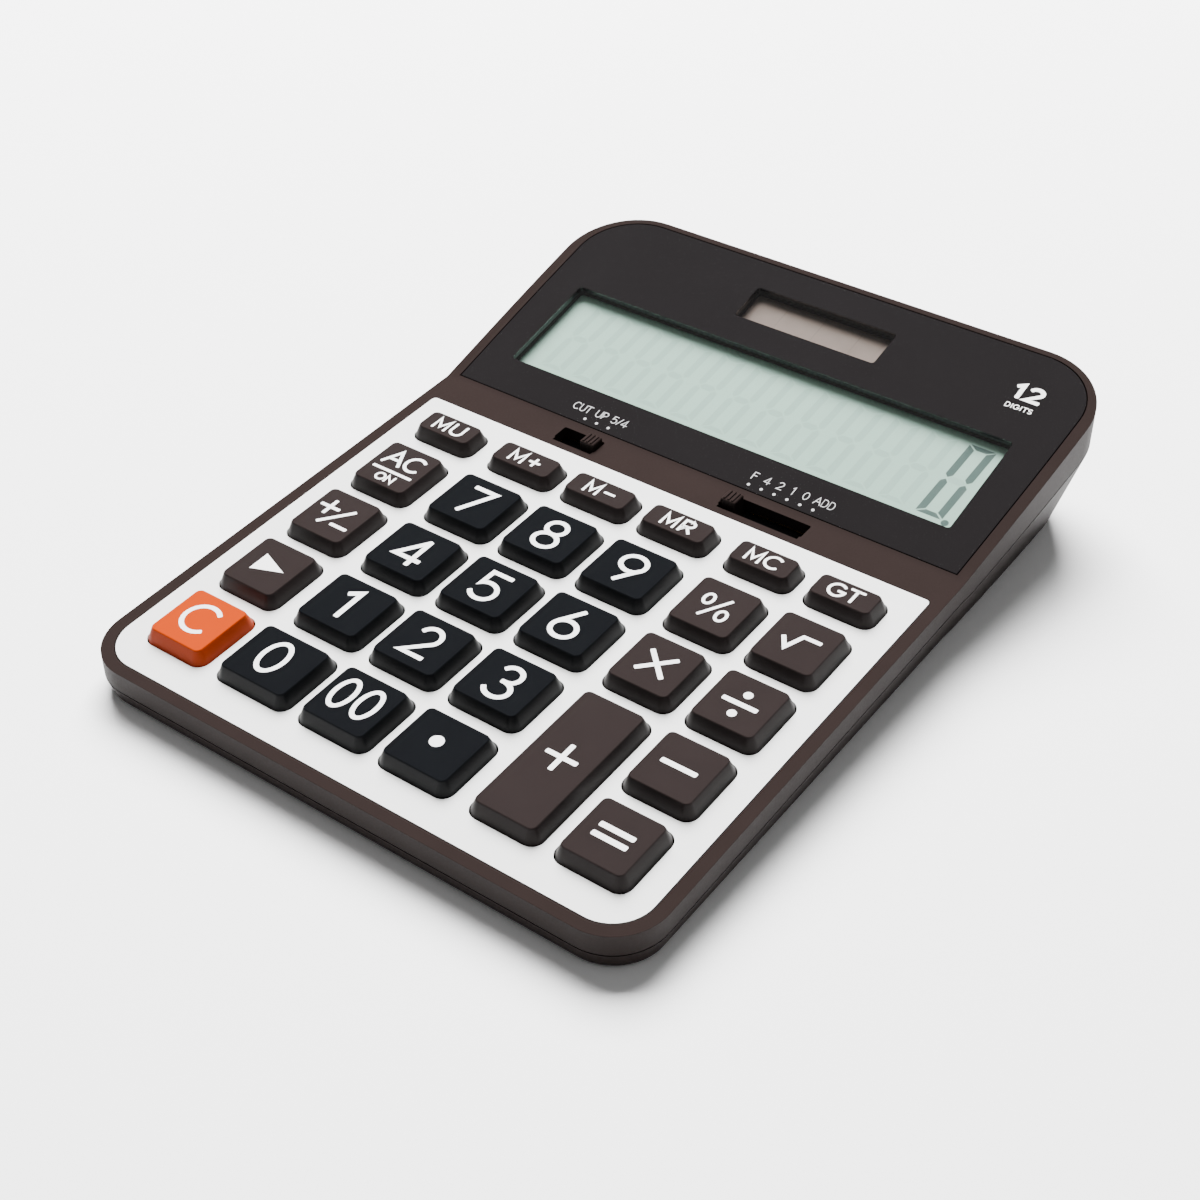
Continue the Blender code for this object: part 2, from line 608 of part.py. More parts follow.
def switch_knob(node, first, stops, at_stop):
    """T-shaped slider: a finger grip above the slot on a foot under the case top."""
    grip_front, grip_back = SWITCH_SLOT_FRONT + GAP, SWITCH_SLOT_BACK - GAP
    foot_front, foot_back = grip_front - KNOB_FOOT, grip_back + KNOB_FOOT
    foot_top = ROOF_UNDER - GAP
    foot_under = foot_top - KNOB_FOOT
    bevel_z = KNOB_RISE - KNOB_BEVEL
    profile = [(foot_front, foot_under), (foot_back, foot_under), (foot_back, foot_top),
               (grip_back, foot_top), (grip_back, bevel_z), (grip_back - KNOB_BEVEL, KNOB_RISE),
               (grip_front + KNOB_BEVEL, KNOB_RISE), (grip_front, bevel_z), (grip_front, foot_top),
               (foot_front, foot_top)]
    bm = prism([profile], -KNOB_WIDTH / 2, KNOB_WIDTH / 2)
    bmesh.ops.transform(bm, matrix=SIDEWAYS, verts=bm.verts)
    x = first + at_stop * SWITCH_PITCH
    place(node, bm, brown_plastic, DECK @ Matrix.Translation((x, 0, 0)))


def strip_profile(points, thickness):
    """Outline of a bent strip of even thickness along a centre line of (y, z) points."""
    upper, lower = [], []
    for index, (y, z) in enumerate(points):
        before, after = points[max(index - 1, 0)], points[min(index + 1, len(points) - 1)]
        along = (Vector(after) - Vector(before)).normalized() * thickness / 2
        upper.append((y - along.y, z + along.x))
        lower.append((y + along.y, z - along.x))
    return upper + lower[::-1]


def side_strip(name, points, thickness, half_width, x, material):
    bm = prism([strip_profile(points, thickness)], x - half_width, x + half_width)
    bmesh.ops.transform(bm, matrix=SIDEWAYS, verts=bm.verts)
    place(name, bm, material)


def in_section(frame, along, up):
    """World (y, z) of a point given in the deck or the head."""
    spot = frame @ Vector((0, along, up))
    return spot.y, spot.z


def ribbon():
    """Flat connector from under the key board up to the front edge of the display panel."""
    start = [in_section(DECK, s, BOARD_UNDER - GAP - RIBBON_THICK / 2) for s in RIBBON_START]
    lcd_front = LCD_WINDOW[1] - LCD_MARGIN - GAP - RIBBON_THICK / 2
    end = [in_section(HEAD, lcd_front - RIBBON_BEND, LCD_UNDER - RIBBON_BEND),
           in_section(HEAD, lcd_front, LCD_UNDER), in_section(HEAD, lcd_front, LCD_TOP - RIBBON_LAP)]
    side_strip("display_ribbon", start + end, RIBBON_THICK, RIBBON_HALF_WIDTH, 0, amber_film)


def tube(points, radius):
    """Round wire along a smooth curve through some points."""
    curve = bpy.data.curves.new("wire", "CURVE")
    curve.dimensions = "3D"
    curve.bevel_depth = radius
    curve.bevel_resolution = 1
    curve.use_fill_caps = True
    spline = curve.splines.new("POLY")
    smooth = smooth_route([Vector(point) for point in points], 4)
    spline.points.add(len(smooth) - 1)
    for knot, point in zip(spline.points, smooth):
        knot.co = (*point, 1)
    return mesh_of_curve(curve)


def smooth_route(points, steps):
    """Catmull-Rom curve through the points."""
    padded = [2 * points[0] - points[1], *points, 2 * points[-1] - points[-2]]
    route = []
    for a, b, c, d in zip(padded, padded[1:], padded[2:], padded[3:]):
        for step in range(steps):
            t = step / steps
            route.append(0.5 * (2 * b + (c - a) * t + (2 * a - 5 * b + 4 * c - d) * t ** 2
                                + (3 * b - a - 3 * c + d) * t ** 3))
    return route + [points[-1]]


def solar_leads():
    """Two wires from under the solar cell, over the case floor, to under the key board."""
    window_front = SOLAR_WINDOW[1]
    start_z = LCD_TOP - SOLAR_THICK - GAP - LEAD_RADIUS
    for name, x, material in (("solar_lead_plus", LEAD_PLUS_X, red_wire),
                              ("solar_lead_minus", LEAD_MINUS_X, black_wire)):
        route = [HEAD @ Vector((x, window_front + LEAD_UNDER_CELL, start_z)),
                 HEAD @ Vector((x, window_front - SOLAR_MARGIN, LCD_UNDER - LEAD_DIVE))]
        route += [Vector((x, y, z)) for y, z in LEAD_FLOOR_POINTS]
        route += [DECK @ Vector((x, BOARD_BACK + past, BOARD_UNDER + up)) for past, up in LEAD_BOARD_POINTS]
        place(name, tube(route, LEAD_RADIUS), material)


def button_cell():
    """Backup cell in its ring on the case floor, between a disc and a spring arm."""
    x, y = CELL_SITE
    minus_z = FLOOR_TOP + GAP
    cell_z = minus_z + CONTACT_THICK + GAP
    disc = drum(bmesh.new(), x, y, minus_z, minus_z + CONTACT_THICK, CONTACT_RADIUS)
    place("cell_contact_minus", disc, steel)
    cell = drum(bmesh.new(), x, y, cell_z, cell_z + CELL_THICK, CELL_RADIUS, 24)
    round_edges(cell, edges_between(cell, lambda face: abs(face.normal.z) > 0.9), ROUND_BEVEL, 1)
    place("button_cell", cell, steel)
    arm_z = cell_z + CELL_THICK + GAP + CONTACT_THICK / 2
    leg_y = y + CELL_RADIUS + CELL_RING + GAP + CONTACT_THICK / 2
    bend = CONTACT_THICK
    arm = [(y - CONTACT_OVERLAP, arm_z), (leg_y - bend, arm_z), (leg_y, arm_z - bend),
           (leg_y, FLOOR_TOP + GAP)]
    side_strip("cell_contact_plus", arm, CONTACT_THICK, CONTACT_HALF_WIDTH, x, steel)


def turned(name, profile, material, x, y):
    """Round piece turned from (radius, z) points that run down its outer side."""
    bm = bmesh.new()
    line = [bm.verts.new((radius, 0, z)) for radius, z in profile]
    edges = [bm.edges.new(pair) for pair in zip(line, line[1:])]
    bmesh.ops.spin(bm, geom=line + edges, cent=(0, 0, 0), axis=(0, 0, 1), dvec=(0, 0, 0),
                   angle=radians(360), steps=ROUND_STEPS, use_merge=True, use_duplicate=False)
    bmesh.ops.remove_doubles(bm, verts=bm.verts, dist=WELD)
    place(name, bm, material, Matrix.Translation((x, y, 0)))


def screws_and_feet():
    for name, x, y in screw_places():
        tip = screw_tip(y)
        head_top = screw_seat(y) - GAP
        head_under = head_top - SCREW_HEAD_THICK
        socket_top = head_under + SCREW_SOCKET_DEPTH
        profile = [(0, tip), (SCREW_SHANK_RADIUS * SCREW_TIP_TAPER, tip),
                   (SCREW_SHANK_RADIUS, tip - SCREW_TIP_BEVEL), (SCREW_SHANK_RADIUS, head_top),
                   (SCREW_HEAD_RADIUS, head_top), (SCREW_HEAD_RADIUS, head_under + ROUND_BEVEL),
                   (SCREW_HEAD_RADIUS - ROUND_BEVEL, head_under), (SCREW_SOCKET_RADIUS, head_under),
                   (SCREW_SOCKET_RADIUS, socket_top), (0, socket_top)]
        turned(name + "_screw", profile, steel, x, y)
    top = BOTTOM_Z + FOOT_SOCKET - GAP
    profile = [(0, top), (FOOT_RADIUS, top), (FOOT_RADIUS, ROUND_BEVEL),
               (FOOT_RADIUS - ROUND_BEVEL, 0), (0, 0)]
    for name, (x, y) in FOOT_SITES.items():
        turned(name, profile, foot_rubber, x, y)


# ---------------------------------------------------------------- build
clear_scene()
parts = new_collection("desk_calculator")
cutters = new_collection("cutters")

cutter_finish = finish("cutter", (0.8, 0.1, 0.1), 0.5)
brown_plastic = finish("brown plastic", (0.062, 0.045, 0.040), 0.42)
brown_key = finish("brown key", (0.060, 0.045, 0.042), 0.38)
black_key = finish("black key", (0.014, 0.016, 0.019), 0.36)
orange_key = finish("orange key", (1.0, 0.14, 0.015), 0.40)
silver_plate = finish("silver plate", (0.78, 0.78, 0.77), 0.34, 0.6)
black_lens = finish("black lens", (0.020, 0.019, 0.021), 0.10)
lcd_glass = finish("lcd glass", (0.50, 0.58, 0.54), 0.25)
solar_glass = finish("solar glass", (0.28, 0.24, 0.22), 0.22)
white_plastic = finish("white plastic", (0.75, 0.75, 0.73), 0.5)
grey_rubber = finish("grey rubber", (0.30, 0.31, 0.32), 0.8)
foot_rubber = finish("foot rubber", (0.05, 0.05, 0.05), 0.8)
green_board = finish("green board", (0.05, 0.22, 0.08), 0.5)
black_resin = finish("black resin", (0.02, 0.02, 0.02), 0.3)
amber_film = finish("amber film", (0.55, 0.33, 0.08), 0.3)
red_wire = finish("red wire", (0.6, 0.03, 0.02), 0.4)
black_wire = finish("black wire", (0.02, 0.02, 0.02), 0.4)
steel = finish("steel", (0.6, 0.6, 0.6), 0.3, 1.0)

keypad_keys = key_layout()
top_case(keypad_keys)
bottom_case()
faceplate(keypad_keys)
display()
keypad(keypad_keys)
for keypad_key in keypad_keys:
    key_cap(keypad_key)
switch_knob("rounding_switch", *SWITCHES["rounding"], at_stop=2)
switch_knob("decimal_switch", *SWITCHES["decimal"], at_stop=0)
ribbon()
solar_leads()
button_cell()
screws_and_feet()
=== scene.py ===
import json
from math import atan2, copysign, cos, hypot, pi, radians, sin, tan

import bmesh
import bpy
import numpy as np
from mathutils import Matrix, Vector


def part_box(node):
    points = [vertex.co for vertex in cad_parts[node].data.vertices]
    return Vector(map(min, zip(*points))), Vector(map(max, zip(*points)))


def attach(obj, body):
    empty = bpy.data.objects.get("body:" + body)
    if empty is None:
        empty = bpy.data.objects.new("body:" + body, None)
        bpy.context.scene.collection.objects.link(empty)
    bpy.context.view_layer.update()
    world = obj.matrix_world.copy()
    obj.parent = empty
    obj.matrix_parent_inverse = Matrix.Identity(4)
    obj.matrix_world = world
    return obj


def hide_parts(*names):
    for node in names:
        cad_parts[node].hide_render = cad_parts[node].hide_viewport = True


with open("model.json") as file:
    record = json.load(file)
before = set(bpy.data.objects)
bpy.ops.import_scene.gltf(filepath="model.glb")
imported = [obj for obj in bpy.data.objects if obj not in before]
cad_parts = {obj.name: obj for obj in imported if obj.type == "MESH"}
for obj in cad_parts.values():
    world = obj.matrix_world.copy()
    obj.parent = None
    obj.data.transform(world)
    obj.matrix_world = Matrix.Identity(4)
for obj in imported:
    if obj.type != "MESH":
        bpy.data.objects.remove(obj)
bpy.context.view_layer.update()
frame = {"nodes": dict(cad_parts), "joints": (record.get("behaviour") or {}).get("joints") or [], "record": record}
mm = 0.001
print("frame loaded")

# World frame: X right, Y back, Z up. The deck carries the keys and the head carries the display;
# each is a sloping frame with its origin on the object's middle line and its Y running up the slope.


def slopeOf(node):
    points = np.array([v.co for v in frame["nodes"][node].data.vertices])
    normal = np.linalg.svd(points - points.mean(0), full_matrices=False)[2][2]
    normal *= np.sign(normal[2])
    return atan2(-normal[1], normal[2]), (points @ normal).max()


deckTilt, deckOffset = slopeOf("faceplate")
headTilt, headOffset = slopeOf("display_window")
caseLow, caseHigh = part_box("top_case")
frontY, backY = caseLow.y, caseHigh.y
halfWidth = max(v.co.x for v in frame["nodes"]["top_case"].data.vertices if v.co.y < 0)


def planeZ(tilt, offset, y):
    return (offset + sin(tilt) * y) / cos(tilt)


rimZ = planeZ(deckTilt, deckOffset, frontY)
bendY = (deckOffset / cos(deckTilt) - headOffset / cos(headTilt)) / (tan(headTilt) - tan(deckTilt))
bendZ = planeZ(deckTilt, deckOffset, bendY)
deck = Matrix.Translation((0, frontY, rimZ)) @ Matrix.Rotation(deckTilt, 4, "X")
head = Matrix.Translation((0, bendY, bendZ)) @ Matrix.Rotation(headTilt, 4, "X")
world = Matrix.Identity(4)


def boxIn(basis, node):
    back = basis.inverted()
    points = np.array([back @ v.co for v in frame["nodes"][node].data.vertices])
    return Vector(points.min(0)), Vector(points.max(0))


# Each material mixes two close tones over a soft noise, and a fine grain drives its roughness and bump.
finish = {"toneDetail": 3.0, "grainDetail": 2.0, "roughSpread": 0.15, "bump": 0.6}
pane = {"tint": (0.96, 0.97, 0.965, 1), "roughness": 0.03, "facingBlend": 0.5, "falloff": 5.0,
        "least": 0.04}


def nodeAt(tree, kind, **inputs):
    node = tree.nodes.new(kind)
    for name, value in inputs.items():
        node.inputs[name.replace("_", " ")].default_value = value
    return node


def toneMix(tree, factor, dark, light):
    mix = tree.nodes.new("ShaderNodeMix")
    mix.data_type = "RGBA"
    mix.inputs["A"].default_value = (*dark, 1)
    mix.inputs["B"].default_value = (*light, 1)
    tree.links.new(factor, mix.inputs["Factor"])
    return mix.outputs["Result"]


def surface(name, colour, roughness, spread=0.10, toneScale=90, grainScale=2600, grainDepth=0.010,
            metallic=0.0, stretch=(1, 1, 1), specular=0.5):
    material = bpy.data.materials.new(name)
    material.use_nodes = True
    tree = material.node_tree
    shader = tree.nodes["Principled BSDF"]
    shader.inputs["Metallic"].default_value = metallic
    shader.inputs["Specular IOR Level"].default_value = specular
    place = tree.nodes.new("ShaderNodeTexCoord")
    scale = tree.nodes.new("ShaderNodeMapping")
    scale.inputs["Scale"].default_value = stretch
    tree.links.new(place.outputs["Object"], scale.inputs["Vector"])
    tone = nodeAt(tree, "ShaderNodeTexNoise", Scale=toneScale, Detail=finish["toneDetail"])
    tree.links.new(scale.outputs["Vector"], tone.inputs["Vector"])
    dark = [c * (1 - spread) for c in colour]
    light = [min(1.0, c * (1 + spread)) for c in colour]
    tree.links.new(toneMix(tree, tone.outputs["Fac"], dark, light), shader.inputs["Base Color"])
    grain = nodeAt(tree, "ShaderNodeTexNoise", Scale=grainScale, Detail=finish["grainDetail"])
    tree.links.new(scale.outputs["Vector"], grain.inputs["Vector"])
    rough = tree.nodes.new("ShaderNodeMapRange")
    rough.inputs["To Min"].default_value = roughness * (1 - finish["roughSpread"])
    rough.inputs["To Max"].default_value = roughness * (1 + finish["roughSpread"])
    tree.links.new(grain.outputs["Fac"], rough.inputs["Value"])
    tree.links.new(rough.outputs["Result"], shader.inputs["Roughness"])
    if grainDepth:
        bump = nodeAt(tree, "ShaderNodeBump", Strength=finish["bump"], Distance=grainDepth * mm)
        tree.links.new(grain.outputs["Fac"], bump.inputs["Height"])
        tree.links.new(bump.outputs["Normal"], shader.inputs["Normal"])
    return material


# The pane turns from clear to glossy as it is seen at a lower angle, alike from both of its faces.
def clearPane(name):
    material = bpy.data.materials.new(name)
    material.use_nodes = True
    tree = material.node_tree
    tree.nodes.remove(tree.nodes["Principled BSDF"])
    through = nodeAt(tree, "ShaderNodeBsdfTransparent", Color=pane["tint"])
    gloss = nodeAt(tree, "ShaderNodeBsdfGlossy", Roughness=pane["roughness"])
    turn = nodeAt(tree, "ShaderNodeLayerWeight", Blend=pane["facingBlend"])
    steep = tree.nodes.new("ShaderNodeMath")
    steep.operation = "POWER"
    steep.inputs[1].default_value = pane["falloff"]
    tree.links.new(turn.outputs["Facing"], steep.inputs[0])
    share = tree.nodes.new("ShaderNodeMapRange")
    share.inputs["To Min"].default_value = pane["least"]
    tree.links.new(steep.outputs["Value"], share.inputs["Value"])
    mix = tree.nodes.new("ShaderNodeMixShader")
    tree.links.new(share.outputs["Result"], mix.inputs["Fac"])
    tree.links.new(through.outputs["BSDF"], mix.inputs[1])
    tree.links.new(gloss.outputs["BSDF"], mix.inputs[2])
    tree.links.new(mix.outputs["Shader"], tree.nodes["Material Output"].inputs["Surface"])
    return material


looks = {
    "brown_case": surface("brown_case", (0.0145, 0.0100, 0.0092), 0.58, grainScale=2200, grainDepth=0.02,
                          specular=0.12),
    "brown_key": surface("brown_key", (0.0140, 0.0103, 0.0100), 0.42, grainScale=3000, grainDepth=0.012,
                         specular=0.12),
    "black_key": surface("black_key", (0.0032, 0.0036, 0.0044), 0.40, grainScale=3000, grainDepth=0.012,
                         specular=0.12),
    "orange_key": surface("orange_key", (0.30, 0.028, 0.0), 0.45, spread=0.05, grainDepth=0.012,
                          specular=0.1),
    "silver_plate": surface("silver_plate", (0.86, 0.86, 0.85), 0.36, spread=0.02, grainScale=500,
                            grainDepth=0.004, metallic=0.2, stretch=(0.12, 4, 4)),
    "black_lens": surface("black_lens", (0.0068, 0.0059, 0.0062), 0.07, toneScale=40, grainScale=60,
                          grainDepth=0.0),
    "lcd_glass": surface("lcd_glass", (0.285, 0.405, 0.345), 0.30, spread=0.05, toneScale=24,
                         grainScale=900, grainDepth=0.0),
    "solar_glass": surface("solar_glass", (0.155, 0.120, 0.106), 0.20, spread=0.12, toneScale=260,
                           grainDepth=0.0),
    "white_plastic": surface("white_plastic", (0.86, 0.86, 0.85), 0.45, spread=0.03, grainDepth=0.01),
    "grey_rubber": surface("grey_rubber", (0.30, 0.31, 0.32), 0.75, grainScale=1500, grainDepth=0.03),
    "foot_rubber": surface("foot_rubber", (0.030, 0.030, 0.031), 0.72, grainScale=1400, grainDepth=0.05),
    "green_board": surface("green_board", (0.03, 0.17, 0.06), 0.40, spread=0.25, toneScale=400),
    "black_resin": surface("black_resin", (0.015, 0.015, 0.016), 0.18, toneScale=200, grainScale=400),
    "amber_film": surface("amber_film", (0.52, 0.28, 0.06), 0.28, stretch=(1, 0.05, 0.05),
                          toneScale=1200),
    "red_wire": surface("red_wire", (0.55, 0.03, 0.02), 0.40),
    "black_wire": surface("black_wire", (0.02, 0.02, 0.02), 0.40),
    "steel": surface("steel", (0.58, 0.58, 0.57), 0.28, metallic=1.0, grainScale=1800, grainDepth=0.006),
}
inkWhite = surface("ink_white", (0.86, 0.86, 0.85), 0.42, spread=0.02, grainScale=4000, grainDepth=0.004)
inkGrey = surface("ink_grey", (0.40, 0.40, 0.40), 0.45, spread=0.03, grainScale=4000, grainDepth=0.004)
lcdInk = surface("lcd_ink", (0.060, 0.090, 0.082), 0.32, spread=0.06, grainDepth=0.0)
lcdGhost = surface("lcd_ghost", (0.248, 0.358, 0.305), 0.30, spread=0.03, grainDepth=0.0)
solarLine = surface("solar_line", (0.125, 0.098, 0.088), 0.25, toneScale=300, grainDepth=0.0)
paneGlass = clearPane("clear_pane")

for item in frame["record"]["subparts"]:
    node = frame["nodes"][item["node"]]
    node.data.materials.clear()
    node.data.materials.append(looks[item["material_slot"]])
print("materials made")


# Points closer than weld become one. A face looks up or down when its normal's Z is past these.
weld = 0.002 * mm
facing = {"up": 0.5, "down": -0.9}


def roundedOutline(left, right, front, back, frontRadius, backRadius, steps):
    points = []
    corners = ((right, front, -1, 1, frontRadius, -90), (right, back, -1, -1, backRadius, 0),
               (left, back, 1, -1, backRadius, 90), (left, front, 1, 1, frontRadius, 180))
    for x, y, inX, inY, radius, start in corners:
        if radius <= 0:
            points.append((x, y))
            continue
        for step in range(steps + 1):
            angle = radians(start + 90 * step / steps)
            points.append((x + radius * (inX + cos(angle)), y + radius * (inY + sin(angle))))
    return points


def prism(outlines, low, high):
    curve = bpy.data.curves.new("outline", "CURVE")
    curve.dimensions = "2D"
    curve.fill_mode = "BOTH"
    curve.extrude = (high - low) / 2
    for outline in outlines:
        spline = curve.splines.new("POLY")
        spline.points.add(len(outline) - 1)
        for point, (x, y) in zip(spline.points, outline):
            point.co = (x, y, 0, 1)
        spline.use_cyclic_u = True
    drawn = bpy.data.objects.new("drawn", curve)
    bpy.context.scene.collection.objects.link(drawn)
    mesh = bpy.data.meshes.new_from_object(drawn.evaluated_get(bpy.context.evaluated_depsgraph_get()))
    bm = bmesh.new()
    bm.from_mesh(mesh)
    bpy.data.objects.remove(drawn)
    bpy.data.meshes.remove(mesh)
    bpy.data.curves.remove(curve)
    bmesh.ops.remove_doubles(bm, verts=bm.verts, dist=weld)
    bmesh.ops.translate(bm, vec=(0, 0, (low + high) / 2), verts=bm.verts)
    return bm


def addBox(bm, left, right, front, back, low, high):
    size = Matrix.Diagonal((right - left, back - front, high - low, 1))
    middle = Matrix.Translation(((left + right) / 2, (front + back) / 2, (low + high) / 2))
    bmesh.ops.create_cube(bm, size=1, matrix=middle @ size)
    return bm


def addDrum(bm, x, y, low, high, radius, segments=32):
    bmesh.ops.create_cone(bm, cap_ends=True, segments=segments, radius1=radius, radius2=radius,
                          depth=high - low, matrix=Matrix.Translation((x, y, (low + high) / 2)))
    return bm


def lathe(profile, x, y, steps):
    bm = bmesh.new()
    line = [bm.verts.new((radius, 0, z)) for radius, z in profile]
    edges = [bm.edges.new(pair) for pair in zip(line, line[1:])]
    bmesh.ops.spin(bm, geom=line + edges, cent=(0, 0, 0), axis=(0, 0, 1), dvec=(0, 0, 0), angle=2 * pi,
                   steps=steps, use_merge=True, use_duplicate=False)
    bmesh.ops.remove_doubles(bm, verts=bm.verts, dist=weld)
    bmesh.ops.translate(bm, vec=(x, y, 0), verts=bm.verts)
    return bm


def combine(bm, tool, operation="DIFFERENCE", basis=world):
    bmesh.ops.transform(tool, matrix=basis, verts=tool.verts)
    pair = []
    for shape in (bm, tool):
        bmesh.ops.recalc_face_normals(shape, faces=shape.faces)
        mesh = bpy.data.meshes.new("working")
        shape.to_mesh(mesh)
        shape.free()
        pair.append(bpy.data.objects.new("working", mesh))
        bpy.context.scene.collection.objects.link(pair[-1])
    change = pair[0].modifiers.new("change", "BOOLEAN")
    change.operation = operation
    change.solver = "EXACT"
    change.object = pair[1]
    result = bmesh.new()
    result.from_object(pair[0], bpy.context.evaluated_depsgraph_get())
    for item in pair:
        mesh = item.data
        bpy.data.objects.remove(item)
        bpy.data.meshes.remove(mesh)
    return result


def edgesBetween(bm, isCap):
    bm.normal_update()
    return [edge for edge in bm.edges if len(edge.link_faces) == 2
            and isCap(edge.link_faces[0]) != isCap(edge.link_faces[1])]


def roundEdges(bm, edges, radius, segments):
    bmesh.ops.bevel(bm, geom=edges, offset=radius, segments=segments, profile=0.5, affect="EDGES",
                    clamp_overlap=True, material=-1)


creaseAngle = radians(32)


def finishPiece(name, bm, basis, material, body, stands=()):
    bmesh.ops.transform(bm, matrix=basis, verts=bm.verts)
    bmesh.ops.recalc_face_normals(bm, faces=bm.faces)
    mesh = bpy.data.meshes.new(name)
    bm.to_mesh(mesh)
    bm.free()
    mesh.shade_smooth()
    mesh.set_sharp_from_angle(angle=creaseAngle)
    mesh.materials.append(material)
    piece = bpy.data.objects.new(name, mesh)
    bpy.context.scene.collection.objects.link(piece)
    weigh = piece.modifiers.new("weigh", "WEIGHTED_NORMAL")
    weigh.keep_sharp = True
    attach(piece, body)
    if stands:
        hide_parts(*stands)


# The case is cut from one rounded outline; its top follows the deck and the head, and its walls meet
# at a seam that runs below both.
caseShape = {"frontRadius": 13.4 * mm, "backRadius": 20 * mm, "cornerSteps": 16, "rimFillet": 1.6 * mm,
             "rimSteps": 5, "wall": 2 * mm, "roof": 3 * mm, "floor": 1.5 * mm, "seamDrop": 5.3 * mm,
             "seamBendY": 33 * mm, "seamTilt": radians(10.9), "draft": radians(16),
             "bottomFillet": 1 * mm, "bottomSteps": 3, "gap": 0.3 * mm, "spare": 6 * mm,
             "sliver": 0.01 * mm, "bossRadius": 3.6 * mm, "bossSplit": 0.42, "bossWeb": 1.4 * mm,
             "shankBore": 1.6 * mm, "headBore": 2.6 * mm, "flare": 2.2 * mm, "flareStations": 8,
             "cellRing": 1.6 * mm, "cellShow": 0.9 * mm, "boreSteps": 16, "footSteps": 48}
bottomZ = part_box("bottom_case")[0].z
screwNodes = sorted(n for n in frame["nodes"] if n.endswith("_screw"))
footNodes = sorted(n for n in frame["nodes"] if n.endswith("_foot"))
gap = caseShape["gap"]


def middleOf(node):
    low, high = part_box(node)
    return (low + high) / 2


def topZ(y):
    return planeZ(deckTilt, deckOffset, y) if y <= bendY else planeZ(headTilt, headOffset, y)


def seamZ(y):
    shape = caseShape
    along = planeZ(deckTilt, deckOffset, min(y, shape["seamBendY"])) - shape["seamDrop"]
    return along + max(0.0, y - shape["seamBendY"]) * tan(shape["seamTilt"])


# Behind the bend the sides bow out, a quarter sine wave that is full at the back.
def flare(bm, worldY=lambda y: y):
    for vert in bm.verts:
        behind = max(0.0, worldY(vert.co.y) - bendY) / (backY - bendY)
        vert.co.x *= 1 + caseShape["flare"] / halfWidth * sin(pi / 2 * min(behind, 1.0))


def cutAcross(bm, stations):
    for y in stations:
        bmesh.ops.bisect_plane(bm, geom=bm.verts[:] + bm.edges[:] + bm.faces[:],
                               plane_co=(0, y, 0), plane_no=(0, 1, 0))


def caseBlock(inset, lowZ, highZ):
    shape = caseShape
    outline = roundedOutline(inset - halfWidth, halfWidth - inset, frontY + inset, backY - inset,
                             shape["frontRadius"] - inset, shape["backRadius"] - inset,
                             shape["cornerSteps"])
    bm = prism([outline], -1, 1)
    reach = backY - shape["backRadius"] - bendY
    stations = [bendY + reach * step / shape["flareStations"] for step in range(shape["flareStations"])]
    cutAcross(bm, [*stations, shape["seamBendY"]])
    for vert in bm.verts:
        vert.co.z = highZ(vert.co.y) if vert.co.z > 0 else lowZ(vert.co.y)
    bmesh.ops.recalc_face_normals(bm, faces=bm.faces)
    return bm


def leanIn(bm, lowZ):
    bm.normal_update()
    for vert in bm.verts:
        flat = all(abs(face.normal.z) > facing["up"] for face in vert.link_faces)
        if flat or vert.co.z > lowZ + caseShape["sliver"]:
            continue
        x, y = vert.co.x, vert.co.y
        radius = caseShape["frontRadius"] if y < 0 else caseShape["backRadius"]
        pastX = max(0.0, abs(x) - (halfWidth - radius))
        pastY = max(0.0, abs(y) - (backY - radius))
        length = hypot(pastX, pastY)
        shift = (seamZ(y) - lowZ) * tan(caseShape["draft"])
        vert.co.x -= copysign(pastX / length, x) * shift
        vert.co.y -= copysign(pastY / length, y) * shift


def bossTop(y):
    return bottomZ + caseShape["bossSplit"] * (topZ(y) - bottomZ)


# The openings that the top case shares with the plate, the lens and the knobs
slotShape = {"front": 126 * mm, "back": 131 * mm, "endRoom": 0.5 * mm, "radius": 0.5 * mm,
             "radiusSteps": 4, "ramp": 1.1 * mm, "rampDepth": 1.5 * mm, "rampInset": 0.4 * mm,
             "rampFoot": 0.05 * mm}
windowShape = {"lcd": (66 * mm, 13.7 * mm, 45.6 * mm), "solar": (21.3 * mm, 54.7 * mm, 66.9 * mm),
               "radius": 0.9 * mm, "steps": 5}
keyShape = {"flange": 0.8 * mm, "flangeThick": 0.8 * mm, "holeRadius": 3.2 * mm,
            "clearance": 0.35 * mm, "shoulder": 0.2 * mm, "taper": 1.25 * mm, "bevel": 0.4 * mm,
            "bevelSteps": 4, "bevelStart": 20, "bevelTuck": 0.024 * mm, "cornerSteps": 7,
            "leastRadius": 0.5 * mm, "wall": 1.5 * mm}
keyNodes = sorted(n for n in frame["nodes"] if n.startswith("key_") and n != "key_board")
switchReach = {joint["child"]: joint["range_m"] for joint in frame["joints"]
               if joint["child"].endswith("_switch")}


def keyHole(node):
    low, high = boxIn(deck, node)
    flange = keyShape["flange"]
    return low.x + flange, high.x - flange, low.y + flange, high.y - flange


def slotEnds(node):
    low, high = boxIn(deck, node)
    least, most = switchReach[node]
    return low.x + least - slotShape["endRoom"], high.x + most + slotShape["endRoom"]


